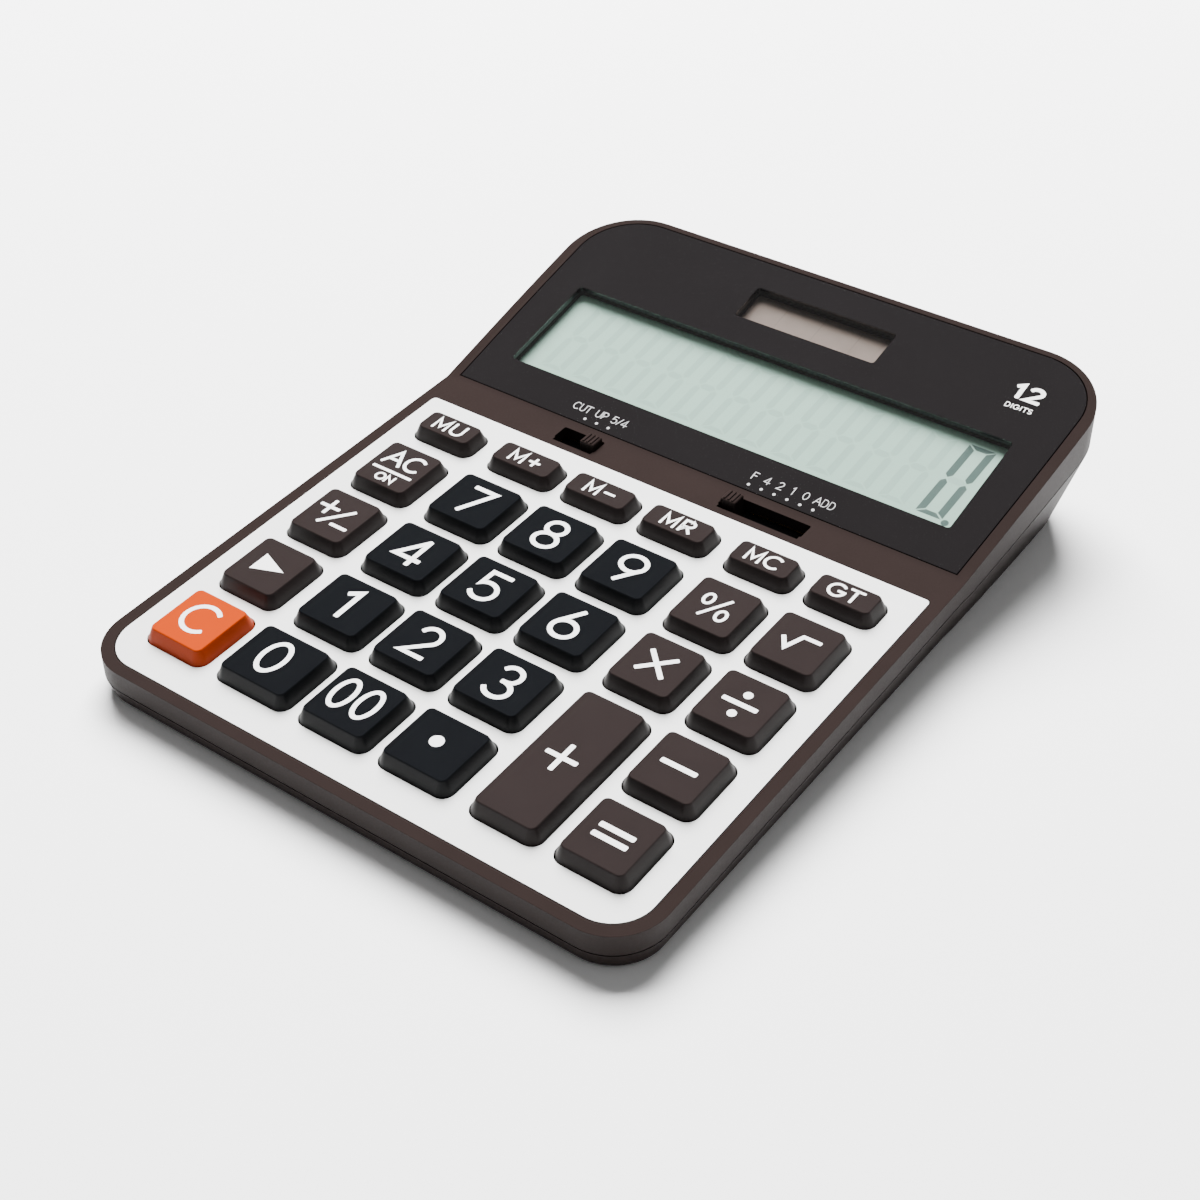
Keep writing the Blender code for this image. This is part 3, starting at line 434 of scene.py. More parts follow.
def slotCut(node):
    left, right = slotEnds(node)
    front, back, ramp, deep = (slotShape[k] for k in ("front", "back", "ramp", "rampDepth"))
    radius, inset, spare = slotShape["radius"], slotShape["rampInset"], caseShape["spare"]
    bm = prism([roundedOutline(left, right, front, back, radius, radius, slotShape["radiusSteps"])],
               -spare, spare)
    wedge = addBox(bmesh.new(), left + inset, right - inset, front - ramp, front + ramp, -deep, spare)
    for vert in wedge.verts:
        if vert.co.z < 0:
            vert.co.y = max(vert.co.y, front + slotShape["rampFoot"])
        elif vert.co.y < front:
            vert.co.y -= ramp * (spare / deep)
    return combine(bm, wedge, "UNION")


def windowOutline(name, grow=0.0):
    half, front, back = windowShape[name]
    radius = windowShape["radius"] + grow
    return roundedOutline(-half - grow, half + grow, front - grow, back + grow, radius, radius,
                          windowShape["steps"])


def topCase():
    shape = caseShape
    bm = caseBlock(0, seamZ, topZ)
    flare(bm)
    bmesh.ops.recalc_face_normals(bm, faces=bm.faces)
    roundEdges(bm, edgesBetween(bm, lambda face: face.normal.z > facing["up"]), shape["rimFillet"],
               shape["rimSteps"])
    hollow = caseBlock(shape["wall"], lambda y: seamZ(y) - shape["spare"],
                       lambda y: topZ(y) - shape["roof"])
    flare(hollow)
    bm = combine(bm, hollow)
    bosses, bores = bmesh.new(), bmesh.new()
    for node in screwNodes:
        x, y = middleOf(node).xy
        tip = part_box(node)[1].z
        addDrum(bosses, x, y, bossTop(y) + gap, topZ(y) - shape["roof"] / 2, shape["bossRadius"])
        addDrum(bores, x, y, bossTop(y) - shape["spare"], tip + gap, shape["shankBore"],
                shape["boreSteps"])
    bm = combine(bm, bosses, "UNION")
    bm = combine(bm, bores)
    plateLow, plateHigh = boxIn(deck, "faceplate")
    pocket = roundedOutline(plateLow.x - gap, plateHigh.x + gap, plateLow.y - gap, plateHigh.y + gap,
                            plateShape["frontRadius"] + gap, plateShape["backRadius"] + gap,
                            plateShape["steps"])
    bm = combine(bm, prism([pocket], plateLow.z - gap, shape["spare"]), basis=deck)
    lensFloor = boxIn(head, "display_window")[0].z
    bm = combine(bm, lensBlock(gap, lensFloor - gap, shape["spare"]), basis=head)
    openings = bmesh.new()
    for node in keyNodes:
        left, right, front, back = keyHole(node)
        addBox(openings, left - gap, right + gap, front - gap, back + gap, -shape["spare"], plateLow.z)
    bm = combine(bm, openings, basis=deck)
    for node in switchReach:
        bm = combine(bm, slotCut(node), basis=deck)
    for name in ("lcd", "solar"):
        bm = combine(bm, prism([windowOutline(name)], -shape["spare"], lensFloor), basis=head)
    finishPiece("top_shell", bm, world, looks["brown_case"], "case", ["top_case"])


panelShape = {"half": 34 * mm, "front": -22 * mm, "back": 22 * mm, "radius": 3 * mm, "depth": 0.35 * mm,
              "steps": 6}


def bottomCase():
    shape = caseShape
    floorTop = bottomZ + shape["floor"]
    bm = caseBlock(0, lambda y: bottomZ, lambda y: seamZ(y) - gap)
    leanIn(bm, bottomZ)
    flare(bm)
    bmesh.ops.recalc_face_normals(bm, faces=bm.faces)
    roundEdges(bm, edgesBetween(bm, lambda face: face.normal.z < facing["down"]), shape["bottomFillet"],
               shape["bottomSteps"])
    hollow = caseBlock(shape["wall"], lambda y: floorTop, lambda y: seamZ(y) + shape["spare"])
    leanIn(hollow, floorTop)
    flare(hollow)
    bm = combine(bm, hollow)
    bosses, bores, shanks = bmesh.new(), bmesh.new(), bmesh.new()
    for node in screwNodes:
        x, y = middleOf(node).xy
        seat = bossTop(y) - shape["bossWeb"]
        addDrum(bosses, x, y, bottomZ + shape["floor"] / 2, bossTop(y), shape["bossRadius"])
        addDrum(bores, x, y, -shape["spare"], seat, shape["headBore"])
        addDrum(shanks, x, y, seat - gap, bossTop(y) + shape["spare"], shape["shankBore"],
                shape["boreSteps"])
    cell = middleOf("button_cell")
    cellLow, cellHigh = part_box("button_cell")
    radius = (cellHigh.x - cellLow.x) / 2
    addDrum(bosses, cell.x, cell.y, bottomZ + shape["floor"] / 2, cellHigh.z - shape["cellShow"],
            radius + shape["cellRing"])
    addDrum(bores, cell.x, cell.y, floorTop, cellHigh.z + radius, radius + gap)
    for node in footNodes:
        x, y = middleOf(node).xy
        low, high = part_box(node)
        addDrum(bores, x, y, -shape["spare"], high.z + gap, (high.x - low.x) / 2 + gap,
                shape["footSteps"])
    bm = combine(bm, bosses, "UNION")
    bm = combine(bm, bores)
    bm = combine(bm, shanks)
    half, radius = panelShape["half"], panelShape["radius"]
    panel = roundedOutline(-half, half, panelShape["front"], panelShape["back"], radius, radius,
                           panelShape["steps"])
    bm = combine(bm, prism([panel], -shape["spare"], bottomZ + panelShape["depth"]))
    finishPiece("bottom_shell", bm, world, looks["brown_case"], "case", ["bottom_case"])


plateShape = {"frontRadius": 10 * mm, "backRadius": 1.2 * mm, "steps": 12, "holeSteps": 7,
              "bevel": 0.12 * mm, "bevelSteps": 2}


def faceplate():
    low, high = boxIn(deck, "faceplate")
    outline = roundedOutline(low.x, high.x, low.y, high.y, plateShape["frontRadius"],
                             plateShape["backRadius"], plateShape["steps"])
    radius = keyShape["holeRadius"]
    holes = [roundedOutline(*keyHole(node), radius, radius, plateShape["holeSteps"])
             for node in keyNodes]
    bm = prism([outline, *holes], low.z, high.z)
    bmesh.ops.recalc_face_normals(bm, faces=bm.faces)
    roundEdges(bm, edgesBetween(bm, lambda face: face.normal.z > facing["up"]), plateShape["bevel"],
               plateShape["bevelSteps"])
    finishPiece("key_plate", bm, deck, looks["silver_plate"], "case", ["faceplate"])


lensShape = {"backRadius": 16.5 * mm, "steps": 14, "bevel": 0.2 * mm, "bevelSteps": 2,
             "pane": 0.4 * mm, "paneGap": 0.02 * mm, "paneSunk": 0.01 * mm, "rimBand": 1 * mm}


def lensBlock(grow, lowZ, highZ):
    low, high = boxIn(head, "display_window")
    toHead = head.inverted()
    corners = [toHead @ v.co for v in frame["nodes"]["display_window"].data.vertices]
    half = max(corner.x for corner in corners if corner.y < low.y + mm) + grow
    radius = lensShape["backRadius"]
    outline = roundedOutline(-half, half, low.y - grow, high.y + grow, 0, radius + grow,
                             lensShape["steps"])
    bm = prism([outline], lowZ, highZ)
    stations = caseShape["flareStations"]
    cutAcross(bm, [(high.y - radius) * step / stations for step in range(1, stations + 1)])
    flare(bm, lambda y: bendY + y * cos(headTilt))
    return bm


def displayWindow():
    low, high = boxIn(head, "display_window")
    bm = lensBlock(0, low.z, high.z)
    for name in ("lcd", "solar"):
        bm = combine(bm, prism([windowOutline(name)], low.z - mm, high.z + mm))
    bmesh.ops.recalc_face_normals(bm, faces=bm.faces)
    band = lensShape["rimBand"]

    def onRim(vert):
        return (abs(vert.co.x) > windowShape["lcd"][0] + 2 * band or vert.co.y > high.y - band
                or vert.co.y < low.y + band)

    rim = [edge for edge in edgesBetween(bm, lambda face: face.normal.z > facing["up"])
           if any(onRim(vert) for vert in edge.verts)]
    roundEdges(bm, rim, lensShape["bevel"], lensShape["bevelSteps"])
    finishPiece("lens", bm, head, looks["black_lens"], "case", ["display_window"])
    for name in ("lcd", "solar"):
        clear = prism([windowOutline(name, -lensShape["paneGap"])], high.z - lensShape["pane"],
                      high.z - lensShape["paneSunk"])
        finishPiece(name + "_pane", clear, head, paneGlass, "case")


# The liquid-crystal panel has twelve seven-segment places; the last one shows 0 and the point.
lcdShape = {"bevel": 0.3 * mm, "bevelSteps": 2, "places": 12, "pitch": 10.4 * mm, "lastX": 58.5 * mm,
            "front": 17.8 * mm, "height": 25.6 * mm, "width": 7.3 * mm, "stroke": 2.0 * mm,
            "slant": 0.045, "split": 0.3 * mm, "flat": 0.7, "proud": 0.02 * mm, "sunk": 0.01 * mm,
            "faintLower": 0.005 * mm, "pointX": 62.7 * mm, "pointY": 17.3 * mm,
            "pointRadius": 1.0 * mm, "pointSteps": 20}


def segmentOutlines():
    w, h, t, s = (lcdShape[k] for k in ("width", "height", "stroke", "split"))
    half, mid, flat = t / 2, h / 2, t * lcdShape["flat"]
    outlines = {}
    outlines["lowerLeft"] = [(0, s), (t, flat + s), (t, mid - half - s), (half, mid - s),
                             (0, mid - half - s)]
    outlines["lowerRight"] = [(w - x, y) for x, y in outlines["lowerLeft"]][::-1]
    outlines["upperLeft"] = [(x, h - y) for x, y in outlines["lowerLeft"]][::-1]
    outlines["upperRight"] = [(w - x, y) for x, y in outlines["upperLeft"]][::-1]
    outlines["bottom"] = [(s, 0), (w - s, 0), (w - t - s, flat), (t + s, flat)]
    outlines["top"] = [(x, h - y) for x, y in outlines["bottom"]][::-1]
    outlines["middle"] = [(half + s, mid), (t + s, mid - half), (w - t - s, mid - half),
                          (w - half - s, mid), (w - t - s, mid + half), (t + s, mid + half)]
    return outlines


def slabs(outlines, low, high):
    bm = bmesh.new()
    for outline in outlines:
        face = bm.faces.new([bm.verts.new((x, y, low)) for x, y in outline])
        made = bmesh.ops.extrude_face_region(bm, geom=[face], use_keep_orig=True)["geom"]
        raised = [part for part in made if isinstance(part, bmesh.types.BMVert)]
        bmesh.ops.translate(bm, vec=(0, 0, high - low), verts=raised)
    return bm


def liquidCrystal():
    shape = lcdShape
    low, high = boxIn(head, "lcd_panel")
    bm = addBox(bmesh.new(), low.x, high.x, low.y, high.y, low.z, high.z)
    roundEdges(bm, bm.edges[:], shape["bevel"], shape["bevelSteps"])
    finishPiece("lcd_panel_glass", bm, head, looks["lcd_glass"], "case", ["lcd_panel"])
    lit, faint = [], []
    for place in range(shape["places"]):
        left = shape["lastX"] - place * shape["pitch"] - shape["width"] / 2
        for name, outline in segmentOutlines().items():
            moved = [(left + x + (y - shape["height"] / 2) * shape["slant"], shape["front"] + y)
                     for x, y in outline]
            (lit if place == 0 and name != "middle" else faint).append(moved)
    lit.append([(shape["pointX"] + shape["pointRadius"] * cos(angle),
                 shape["pointY"] + shape["pointRadius"] * sin(angle))
                for angle in np.linspace(0, 2 * pi, shape["pointSteps"], endpoint=False)])
    bottom, top = high.z - shape["sunk"], high.z + shape["proud"]
    finishPiece("lcd_digits", slabs(lit, bottom, top), head, lcdInk, "case")
    finishPiece("lcd_places", slabs(faint, bottom, top - shape["faintLower"]), head, lcdGhost, "case")


solarShape = {"cells": 4, "line": 0.2 * mm, "lineInset": 1 * mm, "bevel": 0.2 * mm, "bevelSteps": 2,
              "proud": 0.02 * mm, "sunk": 0.01 * mm}


def solarCell():
    low, high = boxIn(head, "solar_cell")
    bm = addBox(bmesh.new(), low.x, high.x, low.y, high.y, low.z, high.z)
    roundEdges(bm, bm.edges[:], solarShape["bevel"], solarShape["bevelSteps"])
    finishPiece("solar_glass", bm, head, looks["solar_glass"], "case", ["solar_cell"])
    pitch = (high.x - low.x) / solarShape["cells"]
    half = solarShape["line"] / 2
    front, back = low.y + solarShape["lineInset"], high.y - solarShape["lineInset"]
    middles = [low.x + index * pitch for index in range(1, solarShape["cells"])]
    lines = [[(x - half, front), (x + half, front), (x + half, back), (x - half, back)] for x in middles]
    finishPiece("solar_lines", slabs(lines, high.z - solarShape["sunk"], high.z + solarShape["proud"]),
                head, solarLine, "case")


# A key is a hollow cap with a flange, bevelled round its top.
def keyCap(node, slot):
    low, high = boxIn(deck, node)
    middleX, middleY = (low.x + high.x) / 2, (low.y + high.y) / 2
    halfX, halfY = (high.x - low.x) / 2, (high.y - low.y) / 2
    shape = keyShape
    wall, bevel, start = shape["wall"], shape["bevel"], shape["bevelStart"]
    radius = shape["holeRadius"] + shape["flange"]
    neck = shape["flange"] + shape["clearance"]
    crown = neck + shape["taper"]
    flangeTop = low.z + shape["flangeThick"]
    rings = [(neck + wall, high.z - wall), (neck + wall, low.z), (0, low.z), (0, flangeTop),
             (neck, flangeTop), (neck, shape["shoulder"]), (crown, high.z - bevel)]
    startSine = sin(radians(start))
    for step in range(1, shape["bevelSteps"] + 1):
        angle = radians(start + (90 - start) * step / shape["bevelSteps"])
        rings.append((crown + bevel * (1 - cos(angle)) - shape["bevelTuck"],
                      high.z - bevel + bevel * (sin(angle) - startSine) / (1 - startSine)))
    bm = bmesh.new()
    loops = []
    for inset, z in rings:
        corner = max(radius - inset, shape["leastRadius"])
        outline = roundedOutline(inset - halfX, halfX - inset, inset - halfY, halfY - inset,
                                 corner, corner, shape["cornerSteps"])
        loops.append([bm.verts.new((middleX + x, middleY + y, z)) for x, y in outline])
    for lower, upper in zip(loops, loops[1:]):
        for i in range(len(lower)):
            j = (i + 1) % len(lower)
            bm.faces.new((lower[i], lower[j], upper[j], upper[i]))
    bm.faces.new(loops[-1])
    bm.faces.new(loops[0][::-1])
    finishPiece(node + "_cap", bm, deck, looks[slot], node, [node])


# Legends are strokes with soft ends, in millimetres from the middle of the key top.
strokeShape = {"soft": 0.35, "round": 0.6, "capAngles": (-72, -48, -24, 0, 24, 48, 72), "mitre": 0.42,
               "ringSteps": 40, "dotSteps": 30, "dotTurn": 348}


def arcPoints(x, y, radiusX, radiusY, start, stop, steps=22):
    angles = [radians(degrees) for degrees in np.linspace(start, stop, steps)]
    return [(x + radiusX * cos(angle), y + radiusY * sin(angle)) for angle in angles]


def ringOutlines(x, y, radiusX, radiusY, width):
    angles = np.linspace(0, 2 * pi, strokeShape["ringSteps"], endpoint=False)
    return [[(x + (radiusX + side) * cos(angle), y + (radiusY + side) * sin(angle)) for angle in angles]
            for side in (width / 2, -width / 2)]


def strokeCap(point, along, width):
    across = Vector((-along.y, along.x))
    angles = [radians(degrees) for degrees in strokeShape["capAngles"]]
    power = strokeShape["round"]
    return [point + along * (strokeShape["soft"] * width * abs(cos(angle)) ** power)
            + across * (width / 2 * copysign(abs(sin(angle)) ** power, sin(angle))) for angle in angles]


def strokeOutline(points, width):
    path = [Vector(p) for p in points]
    left, right = [], []
    for i, point in enumerate(path):
        before = (path[i] - path[i - 1]).normalized() if i else None
        after = (path[i + 1] - path[i]).normalized() if i < len(path) - 1 else None
        along = (before or after) if not (before and after) else (before + after).normalized()
        across = Vector((-along.y, along.x))
        reach = width / 2
        if before and after:
            reach /= max(strokeShape["mitre"], across.dot(Vector((-before.y, before.x))))
        left.append(point + across * reach)
        right.append(point - across * reach)
    ahead = (path[-1] - path[-2]).normalized()
    behind = (path[0] - path[1]).normalized()
    return right + strokeCap(path[-1], ahead, width) + left[::-1] + strokeCap(path[0], behind, width)


# Each letter has the width it takes up and its strokes, both for a height of one.
def letterStrokes(letter, height):
    bowl = arcPoints(0.05, 0.24, 0.26, 0.26, 90, -90, 12)
    belly = arcPoints(-0.02, 0, 0.36, 0.5, 90, -90, 16)
    shapes = {
        "M": (1.0, [[(-0.36, -0.5), (-0.36, 0.5), (0, -0.3), (0.36, 0.5), (0.36, -0.5)]]),
        "U": (0.8, [[(-0.33, 0.5), (-0.33, -0.12)] + arcPoints(0, -0.15, 0.33, 0.35, 180, 360)
                    + [(0.33, 0.5)]]),
        "R": (0.75, [[(-0.28, -0.5), (-0.28, 0.5), (0.05, 0.5)] + bowl + [(-0.26, -0.02)],
                     [(0.02, -0.04), (0.33, -0.5)]]),
        "C": (0.9, [arcPoints(0.02, 0, 0.44, 0.5, 48, 312)]),
        "G": (0.95, [arcPoints(0, 0, 0.44, 0.5, 48, 350) + [(0.43, -0.04), (0.10, -0.04)]]),
        "T": (0.75, [[(-0.36, 0.5), (0.36, 0.5)], [(0, 0.48), (0, -0.5)]]),
        "A": (0.9, [[(-0.44, -0.5), (0, 0.5), (0.44, -0.5)], [(-0.27, -0.14), (0.27, -0.14)]]),
        "O": (0.95, [arcPoints(0, 0, 0.42, 0.5, 90, 450, 36)]),
        "N": (0.85, [[(-0.34, -0.5), (-0.34, 0.5), (0.34, -0.5), (0.34, 0.5)]]),
        "P": (0.7, [[(-0.28, -0.5), (-0.28, 0.5), (0.05, 0.5)] + bowl + [(-0.26, -0.02)]]),
        "D": (0.85, [[(-0.32, -0.5), (-0.32, 0.5), (-0.02, 0.5)] + belly + [(-0.32, -0.5)]]),
        "F": (0.7, [[(-0.28, -0.5), (-0.28, 0.5), (0.3, 0.5)], [(-0.26, 0.04), (0.22, 0.04)]]),
        "+": (0.8, [[(-0.28, 0), (0.28, 0)], [(0, 0.34), (0, -0.34)]]),
        "-": (0.8, [[(-0.28, 0), (0.28, 0)]]),
        "I": (0.35, [[(0, 0.5), (0, -0.5)]]),
        "S": (0.7, [arcPoints(0, 0.24, 0.27, 0.26, 40, 270, 12)
                    + arcPoints(0, -0.25, 0.27, 0.25, 85, -140, 12)]),
        "/": (0.5, [[(-0.2, -0.5), (0.2, 0.5)]]),
        "0": (0.72, [arcPoints(0, 0, 0.29, 0.5, 90, 450, 36)]),
        "1": (0.5, [[(-0.2, 0.32), (0.03, 0.5), (0.03, -0.5)]]),
        "2": (0.72, [arcPoints(0, 0.22, 0.28, 0.28, 155, -32, 16) + [(-0.3, -0.5), (0.3, -0.5)]]),
        "4": (0.75, [[(0.12, -0.5), (0.12, 0.5), (-0.34, -0.24), (0.36, -0.24)]]),
        "5": (0.72, [[(0.26, 0.5), (-0.2, 0.5), (-0.23, 0.06)]
                     + arcPoints(0, -0.17, 0.30, 0.33, 128, -145, 16)]),
    }
    width, strokes = shapes[letter]
    return width * height, [[(x * height, y * height) for x, y in stroke] for stroke in strokes]


def wordStrokes(word, height, width, x, y, spacing=0.1):
    advance = [letterStrokes(letter, height)[0] for letter in word]
    total = sum(advance) + spacing * height * (len(word) - 1)
    stretch = width / total
    at = x - width / 2
    strokes = []
    for letter, wide in zip(word, advance):
        middle = at + wide * stretch / 2
        for stroke in letterStrokes(letter, height)[1]:
            strokes.append([(middle + px * stretch, y + py) for px, py in stroke])
        at += (wide + spacing * height) * stretch
    return strokes


# The width of the strokes, then the marks: a path of points, or a ring, a dot or a filled shape
legends = {
    "key_0": (1.25, [("ring", -0.65, 0.4, 3.0, 4.8)]),
    "key_00": (1.2, [("ring", -3.7, 0.6, 2.35, 4.45), ("ring", 3.1, 0.6, 2.35, 4.45)]),
    "key_1": (1.4, [[(-2.0, 3.1), (0.5, 4.75), (0.5, -4.4)]]),
    "key_2": (1.25, [arcPoints(0.15, 2.0, 2.75, 2.75, 160, -38) + [(-3.2, -4.75), (3.0, -4.75)]]),
    "key_3": (1.25, [arcPoints(0.1, 2.3, 2.6, 2.45, 152, -78) + [(-0.5, -0.15)],
                    arcPoints(-0.05, -2.75, 3.15, 2.6, 82, -158)]),
    "key_4": (1.3, [[(1.75, 4.6), (-3.4, -2.6), (3.7, -2.6)], [(1.75, 4.6), (1.75, -4.7)]]),
    "key_5": (1.25, [[(3.2, 4.65), (-2.1, 4.65), (-2.35, 0.2)]
                     + arcPoints(-0.1, -1.95, 3.25, 3.0, 128, -150)]),
    "key_6": (1.25, [("ring", 0.1, -2.2, 3.15, 2.85), [(1.1, 4.9), (-2.55, -0.5)]]),
    "key_7": (1.3, [[(-2.9, 4.45), (3.2, 4.45), (-1.6, -4.9)]]),
    "key_8": (1.25, [("ring", 0.3, 2.45, 2.6, 2.35), ("ring", 0.3, -2.5, 3.05, 2.6)]),
    "key_9": (1.25, [("ring", 0.15, 1.95, 3.25, 2.85), [(-0.9, -4.9), (2.7, 0.35)]]),
    "key_point": (0, [("dot", -0.45, 0.6, 1.7)]),
    "key_clear": (1.2, [arcPoints(0.2, 0.4, 4.4, 4.4, 47, 313)]),
    "key_backspace": (0, [("shape", [(-3.5, 3.1), (-3.5, -3.15), (4.65, -0.1)])]),
    "key_sign": (1.0, [[(-5.9, 1.75), (-0.6, 1.75)], [(-3.25, 4.2), (-3.25, -0.75)],
                       [(3.6, 3.2), (-2.3, -4.0)], [(1.4, -3.25), (5.9, -3.25)]]),
    "key_all_clear": (0.9, wordStrokes("AC", 5.4, 11.2, 0.2, 2.65) + [[(-5.8, -2.45), (5.9, -2.45)]]),
    "key_plus": (1.25, [[(-3.6, 0.1), (3.7, 0.1)], [(0.1, 4.0), (0.1, -3.8)]]),
    "key_minus": (1.35, [[(-4.1, -0.1), (4.0, -0.1)]]),
    "key_equals": (1.4, [[(-3.9, 1.35), (3.9, 1.35)], [(-3.9, -1.45), (3.9, -1.45)]]),
    "key_multiply": (1.2, [[(-3.3, 3.3), (3.3, -3.3)], [(-3.3, -3.3), (3.3, 3.3)]]),
    "key_divide": (1.3, [[(-4.0, -0.4), (4.0, -0.4)], ("dot", 0.1, 2.8, 1.1), ("dot", 0.1, -3.7, 1.1)]),
    "key_percent": (0.8, [("ring", -2.75, 1.5, 1.15, 1.75), ("ring", 2.85, -2.15, 1.2, 1.75),
                          [(2.4, 3.4), (-2.1, -4.2)]]),
    "key_root": (1.1, [[(-3.9, 0.2), (-1.9, -2.75), (0.1, 2.3), (4.3, 2.3)]]),
    "key_mu": (0.74, wordStrokes("MU", 4.2, 9.6, -0.1, 0)),
    "key_m_plus": (0.74, wordStrokes("M+", 4.2, 9.6, -0.1, 0)),
    "key_m_minus": (0.74, wordStrokes("M-", 4.2, 9.2, 0.1, 0)),
    "key_mr": (0.74, wordStrokes("MR", 4.2, 9.0, -0.1, 0)),
    "key_mc": (0.74, wordStrokes("MC", 4.2, 9.6, -0.1, 0)),
    "key_gt": (0.74, wordStrokes("GT", 4.2, 8.4, -0.2, 0)),
}
smallLegends = {"key_all_clear": (0.6, wordStrokes("ON", 2.4, 5.6, 0.1, -5.2))}
inkShape = {"proud": 0.03 * mm, "sunk": 0.03 * mm, "closed": 1e-6}


# A path that ends where it starts becomes a band between two closed outlines.
def closedOutlines(points, width):
    middle = Vector([sum(c) / len(points) for c in zip(*points)])
    spokes = [(Vector(point), (Vector(point) - middle).normalized()) for point in points[:-1]]
    return [[tuple(point + out * side) for point, out in spokes] for side in (width / 2, -width / 2)]


def inkSlabs(width, marks, x, y, low, high):
    whole = None
    for mark in marks:
        if mark[0] == "ring":
            outlines = ringOutlines(*mark[1:], width)
        elif mark[0] == "dot":
            dotX, dotY, radius = mark[1:]
            outlines = [arcPoints(dotX, dotY, radius, radius, 0, strokeShape["dotTurn"],
                                  strokeShape["dotSteps"])]
        elif mark[0] == "shape":
            outlines = [mark[1]]
        elif (Vector(mark[0]) - Vector(mark[-1])).length < inkShape["closed"]:
            outlines = closedOutlines(mark, width)
        else:
            outlines = [strokeOutline(mark, width)]
        placed = [[(x + px * mm, y + py * mm) for px, py in outline] for outline in outlines]
        slab = prism(placed, low, high)
        whole = slab if whole is None else combine(whole, slab, "UNION")
    return whole


def joined(first, second):
    if second is None:
        return first
    mesh = bpy.data.meshes.new("working")
    second.to_mesh(mesh)
    second.free()
    first.from_mesh(mesh)
    bpy.data.meshes.remove(mesh)
    return first


def keyLegend(node):
    low, high = boxIn(deck, node)
    x, y = (low.x + high.x) / 2, (low.y + high.y) / 2
    bottom, top = high.z - inkShape["sunk"], high.z + inkShape["proud"]
    bm = inkSlabs(*legends[node], x, y, bottom, top)
    if node in smallLegends:
        bm = joined(bm, inkSlabs(*smallLegends[node], x, y, bottom, top))
    finishPiece("legend_" + node[4:], bm, deck, inkWhite, node)


# A switch knob stands on a thin foot and has ribs for the fingertip.
knobShape = {"foot": 1 * mm, "round": 0.5 * mm, "roundSteps": 4, "ribs": 3, "ribWidth": 0.5 * mm,
             "ribPitch": 1.15 * mm, "ribHeight": 0.3 * mm, "ribInset": 1.45 * mm, "ribSunk": 0.2 * mm,
             "ribRound": 0.14 * mm, "ribRoundSteps": 2}


def switchKnob(node):
    low, high = boxIn(deck, node)
    shape = knobShape
    foot, inset, half = shape["foot"], shape["ribInset"], shape["ribWidth"] / 2
    top = high.z - shape["ribHeight"]
    bm = addBox(bmesh.new(), low.x, high.x, low.y + foot, high.y - foot, low.z + foot / 2, top)
    upper = [edge for edge in bm.edges if all(v.co.z > 0 for v in edge.verts) or
             abs(edge.verts[0].co.z - edge.verts[1].co.z) > foot]
    roundEdges(bm, upper, shape["round"], shape["roundSteps"])
    bm = combine(bm, addBox(bmesh.new(), low.x, high.x, low.y, high.y, low.z, low.z + foot), "UNION")
    for index in range(shape["ribs"]):
        x = (low.x + high.x) / 2 + (index - 1) * shape["ribPitch"]
        rib = addBox(bmesh.new(), x - half, x + half, low.y + inset, high.y - inset,
                     top - shape["ribSunk"], high.z)
        ends = [edge for edge in rib.edges if all(v.co.z > top for v in edge.verts)]
        roundEdges(rib, ends, shape["ribRound"], shape["ribRoundSteps"])
        bm = combine(bm, rib, "UNION")
    finishPiece(node + "_knob", bm, deck, looks["brown_case"], node, [node])


# A dark strip under each slot is painted shade: it stands in for the shadow inside the slot and keeps the inside
# of the case out of sight.
shadeStripShape = {"margin": 1.2 * mm, "low": -5.0 * mm, "high": -4.6 * mm}


def slotShadeStrip(node):
    left, right = slotEnds(node)
    margin = shadeStripShape["margin"]
    bm = addBox(bmesh.new(), left - margin, right + margin, slotShape["front"] - margin,
                slotShape["back"] + margin, shadeStripShape["low"], shadeStripShape["high"])
    # Black painted shade that fills the slot's hollow
    finishPiece(node + "_painted_shade", bm, deck, looks["black_resin"], "case")


# Words beside the switches have a middle and a width; the badge's words add a height and a stroke.
printShape = {"height": 2.35, "stroke": 0.25, "gap": 0.06, "wordY": 6.9, "dotY": 3.75, "dotRadius": 0.42,
              "sunk": 0.02 * mm, "proud": 0.015 * mm,
              "rounding_switch": (("CUT", -37.2, 5.5), ("UP", -31.1, 3.5), ("5/4", -25.4, 5.0)),
              "decimal_switch": (("F", 15.9, 1.5), ("4", 19.6, 1.7), ("2", 23.3, 1.7), ("1", 27.0, 1.0),
                                 ("0", 30.6, 1.7), ("ADD", 35.9, 5.6)),
              "stops": {"rounding_switch": 3, "decimal_switch": 6}, "badgeGap": 0.1,
              "badge": (("12", 4.6, 7.6, 61.4, 62.4, 1.2), ("DIGITS", 1.5, 7.4, 61.4, 56.9, 0.24))}


def lensPrinting():
    shape = printShape
    high = boxIn(head, "display_window")[1]
    low, top = high.z - shape["sunk"], high.z + shape["proud"]
    bm = bmesh.new()
    for node, stops in shape["stops"].items():
        boxLow, boxHigh = boxIn(deck, node)
        least, most = switchReach[node]
        for stop in range(stops):
            x = ((boxLow.x + boxHigh.x) / 2 + least + (most - least) * stop / (stops - 1)) / mm
            dot = ("dot", x, shape["dotY"], shape["dotRadius"])
            bm = joined(bm, inkSlabs(0, [dot], 0, 0, low, top))
        for word, x, width in shape[node]:
            strokes = wordStrokes(word, shape["height"], width, x, shape["wordY"], shape["gap"])
            bm = joined(bm, inkSlabs(shape["stroke"], strokes, 0, 0, low, top))
    finishPiece("switch_printing", bm, head, inkGrey, "case")
    badge = bmesh.new()
    for word, height, width, x, y, stroke in shape["badge"]:
        strokes = wordStrokes(word, height, width, x, y, shape["badgeGap"])
        badge = joined(badge, inkSlabs(stroke, strokes, 0, 0, low, top))
    finishPiece("digits_badge", badge, head, inkWhite, "case")


edgeCut = 0.3


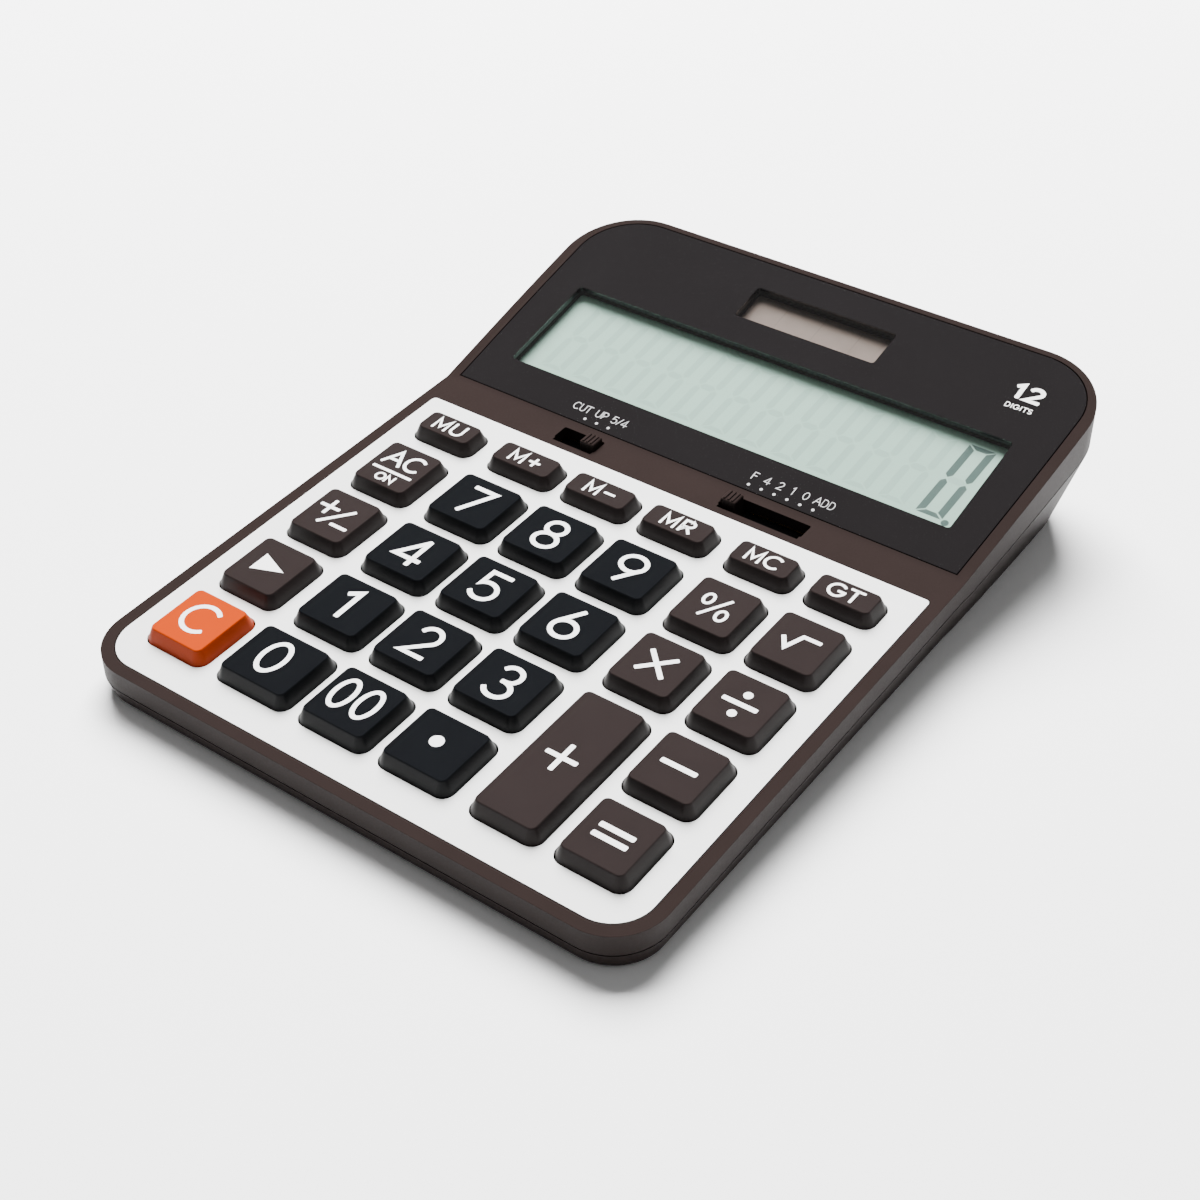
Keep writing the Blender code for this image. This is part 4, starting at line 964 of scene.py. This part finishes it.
# The lower rim of a lathed piece is bevelled in two steps.
def lowerEdge(radius, bevel, z):
    cut = bevel * edgeCut
    return [(radius, z + bevel), (radius - cut, z + cut), (radius - bevel, z)]


screwShape = {"steps": 28, "bevel": 0.4 * mm, "cross": 0.42 * mm, "crossReach": 1.35 * mm,
              "crossDepth": 0.8 * mm, "head": 1.4 * mm, "shank": 1.3 * mm, "point": 0.6 * mm, "tip": 0.6}


def screw(node):
    low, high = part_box(node)
    x, y = (low.x + high.x) / 2, (low.y + high.y) / 2
    shape = screwShape
    shank, neck = shape["shank"], low.z + shape["head"]
    radius = (high.x - low.x) / 2
    profile = [(0, high.z), (shank * shape["tip"], high.z), (shank, high.z - shape["point"]),
               (shank, neck), (radius, neck)] + lowerEdge(radius, shape["bevel"], low.z) + [(0, low.z)]
    bm = lathe(profile, x, y, shape["steps"])
    reach, half = shape["crossReach"], shape["cross"] / 2
    bottom, depth = low.z - mm, low.z + shape["crossDepth"]
    cross = addBox(bmesh.new(), x - reach, x + reach, y - half, y + half, bottom, depth)
    other = addBox(bmesh.new(), x - half, x + half, y - reach, y + reach, bottom, depth)
    bm = combine(bm, combine(cross, other, "UNION"))
    finishPiece(node + "_steel", bm, world, looks["steel"], "case", [node])


footShape = {"steps": 56, "bevel": 0.4 * mm, "groove": 0.25 * mm, "grooveRadius": 4.4 * mm}


def foot(node):
    low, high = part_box(node)
    x, y = (low.x + high.x) / 2, (low.y + high.y) / 2
    radius, groove, ring = (high.x - low.x) / 2, footShape["groove"], footShape["grooveRadius"]
    profile = [(0, high.z), (radius, high.z)] + lowerEdge(radius, footShape["bevel"], low.z)
    profile += [(ring + groove, low.z), (ring, low.z + groove), (ring - groove, low.z), (0, low.z)]
    finishPiece(node + "_rubber", lathe(profile, x, y, footShape["steps"]), world, looks["foot_rubber"],
                "case", [node])


topCase()
bottomCase()
print("case shells made")
faceplate()
displayWindow()
liquidCrystal()
solarCell()
print("plate and display made")
slotOf = {item["node"]: item["material_slot"] for item in frame["record"]["subparts"]}
for keyNode in keyNodes:
    keyCap(keyNode, slotOf[keyNode])
    keyLegend(keyNode)
print("keys made")
for switchNode in switchReach:
    switchKnob(switchNode)
    slotShadeStrip(switchNode)
lensPrinting()
for screwNode in screwNodes:
    screw(screwNode)
for footNode in footNodes:
    foot(footNode)
print("switches, screws and feet made")

# A wide floor, a broad soft light from behind on the left and a faint one from the right
studio = {"floorHalf": 3.0, "floorColour": (0.93, 0.93, 0.93), "floorRough": 0.7, "floorSpread": 0.01,
          "floorTone": 3, "worldStrength": 0.20, "worldColour": (1, 1, 1, 1),
          "lights": (("key_light", (-0.75, 0.95, 1.45), 1.3, 285.0),
                     ("fill_light", (0.9, -0.4, 1.6), 1.2, 3.0)),
          "cameraAt": (0.2210, -0.3084, 0.2911), "cameraAlong": (-0.468, 0.6352, -0.6145),
          "lens": 58.39, "nearest": 0.01}


def placeLooking(name, thing, at, along):
    placed = bpy.data.objects.new(name, thing)
    placed.matrix_world = Matrix.Translation(at) @ along.to_track_quat("-Z", "Y").to_matrix().to_4x4()
    bpy.context.scene.collection.objects.link(placed)
    return placed


def makeStudio():
    bm = bmesh.new()
    bmesh.ops.create_grid(bm, x_segments=2, y_segments=2, size=studio["floorHalf"])
    mesh = bpy.data.meshes.new("floor")
    bm.to_mesh(mesh)
    bm.free()
    floor = bpy.data.objects.new("floor", mesh)
    white = surface("floor_white", studio["floorColour"], studio["floorRough"],
                    spread=studio["floorSpread"], toneScale=studio["floorTone"], grainDepth=0.0)
    mesh.materials.append(white)
    bpy.context.scene.collection.objects.link(floor)
    sky = bpy.data.worlds.new("sky")
    sky.use_nodes = True
    backdrop = sky.node_tree.nodes["Background"].inputs
    backdrop["Strength"].default_value = studio["worldStrength"]
    backdrop["Color"].default_value = studio["worldColour"]
    bpy.context.scene.world = sky
    for name, at, size, power in studio["lights"]:
        light = bpy.data.lights.new(name, "AREA")
        light.size = size
        light.energy = power
        placeLooking(name, light, at, -Vector(at)).visible_glossy = False
    camera = bpy.data.cameras.new("camera")
    camera.lens = studio["lens"]
    camera.clip_start = studio["nearest"]
    along = Vector(studio["cameraAlong"])
    bpy.context.scene.camera = placeLooking("camera", camera, studio["cameraAt"], along)


makeStudio()
print("studio made")
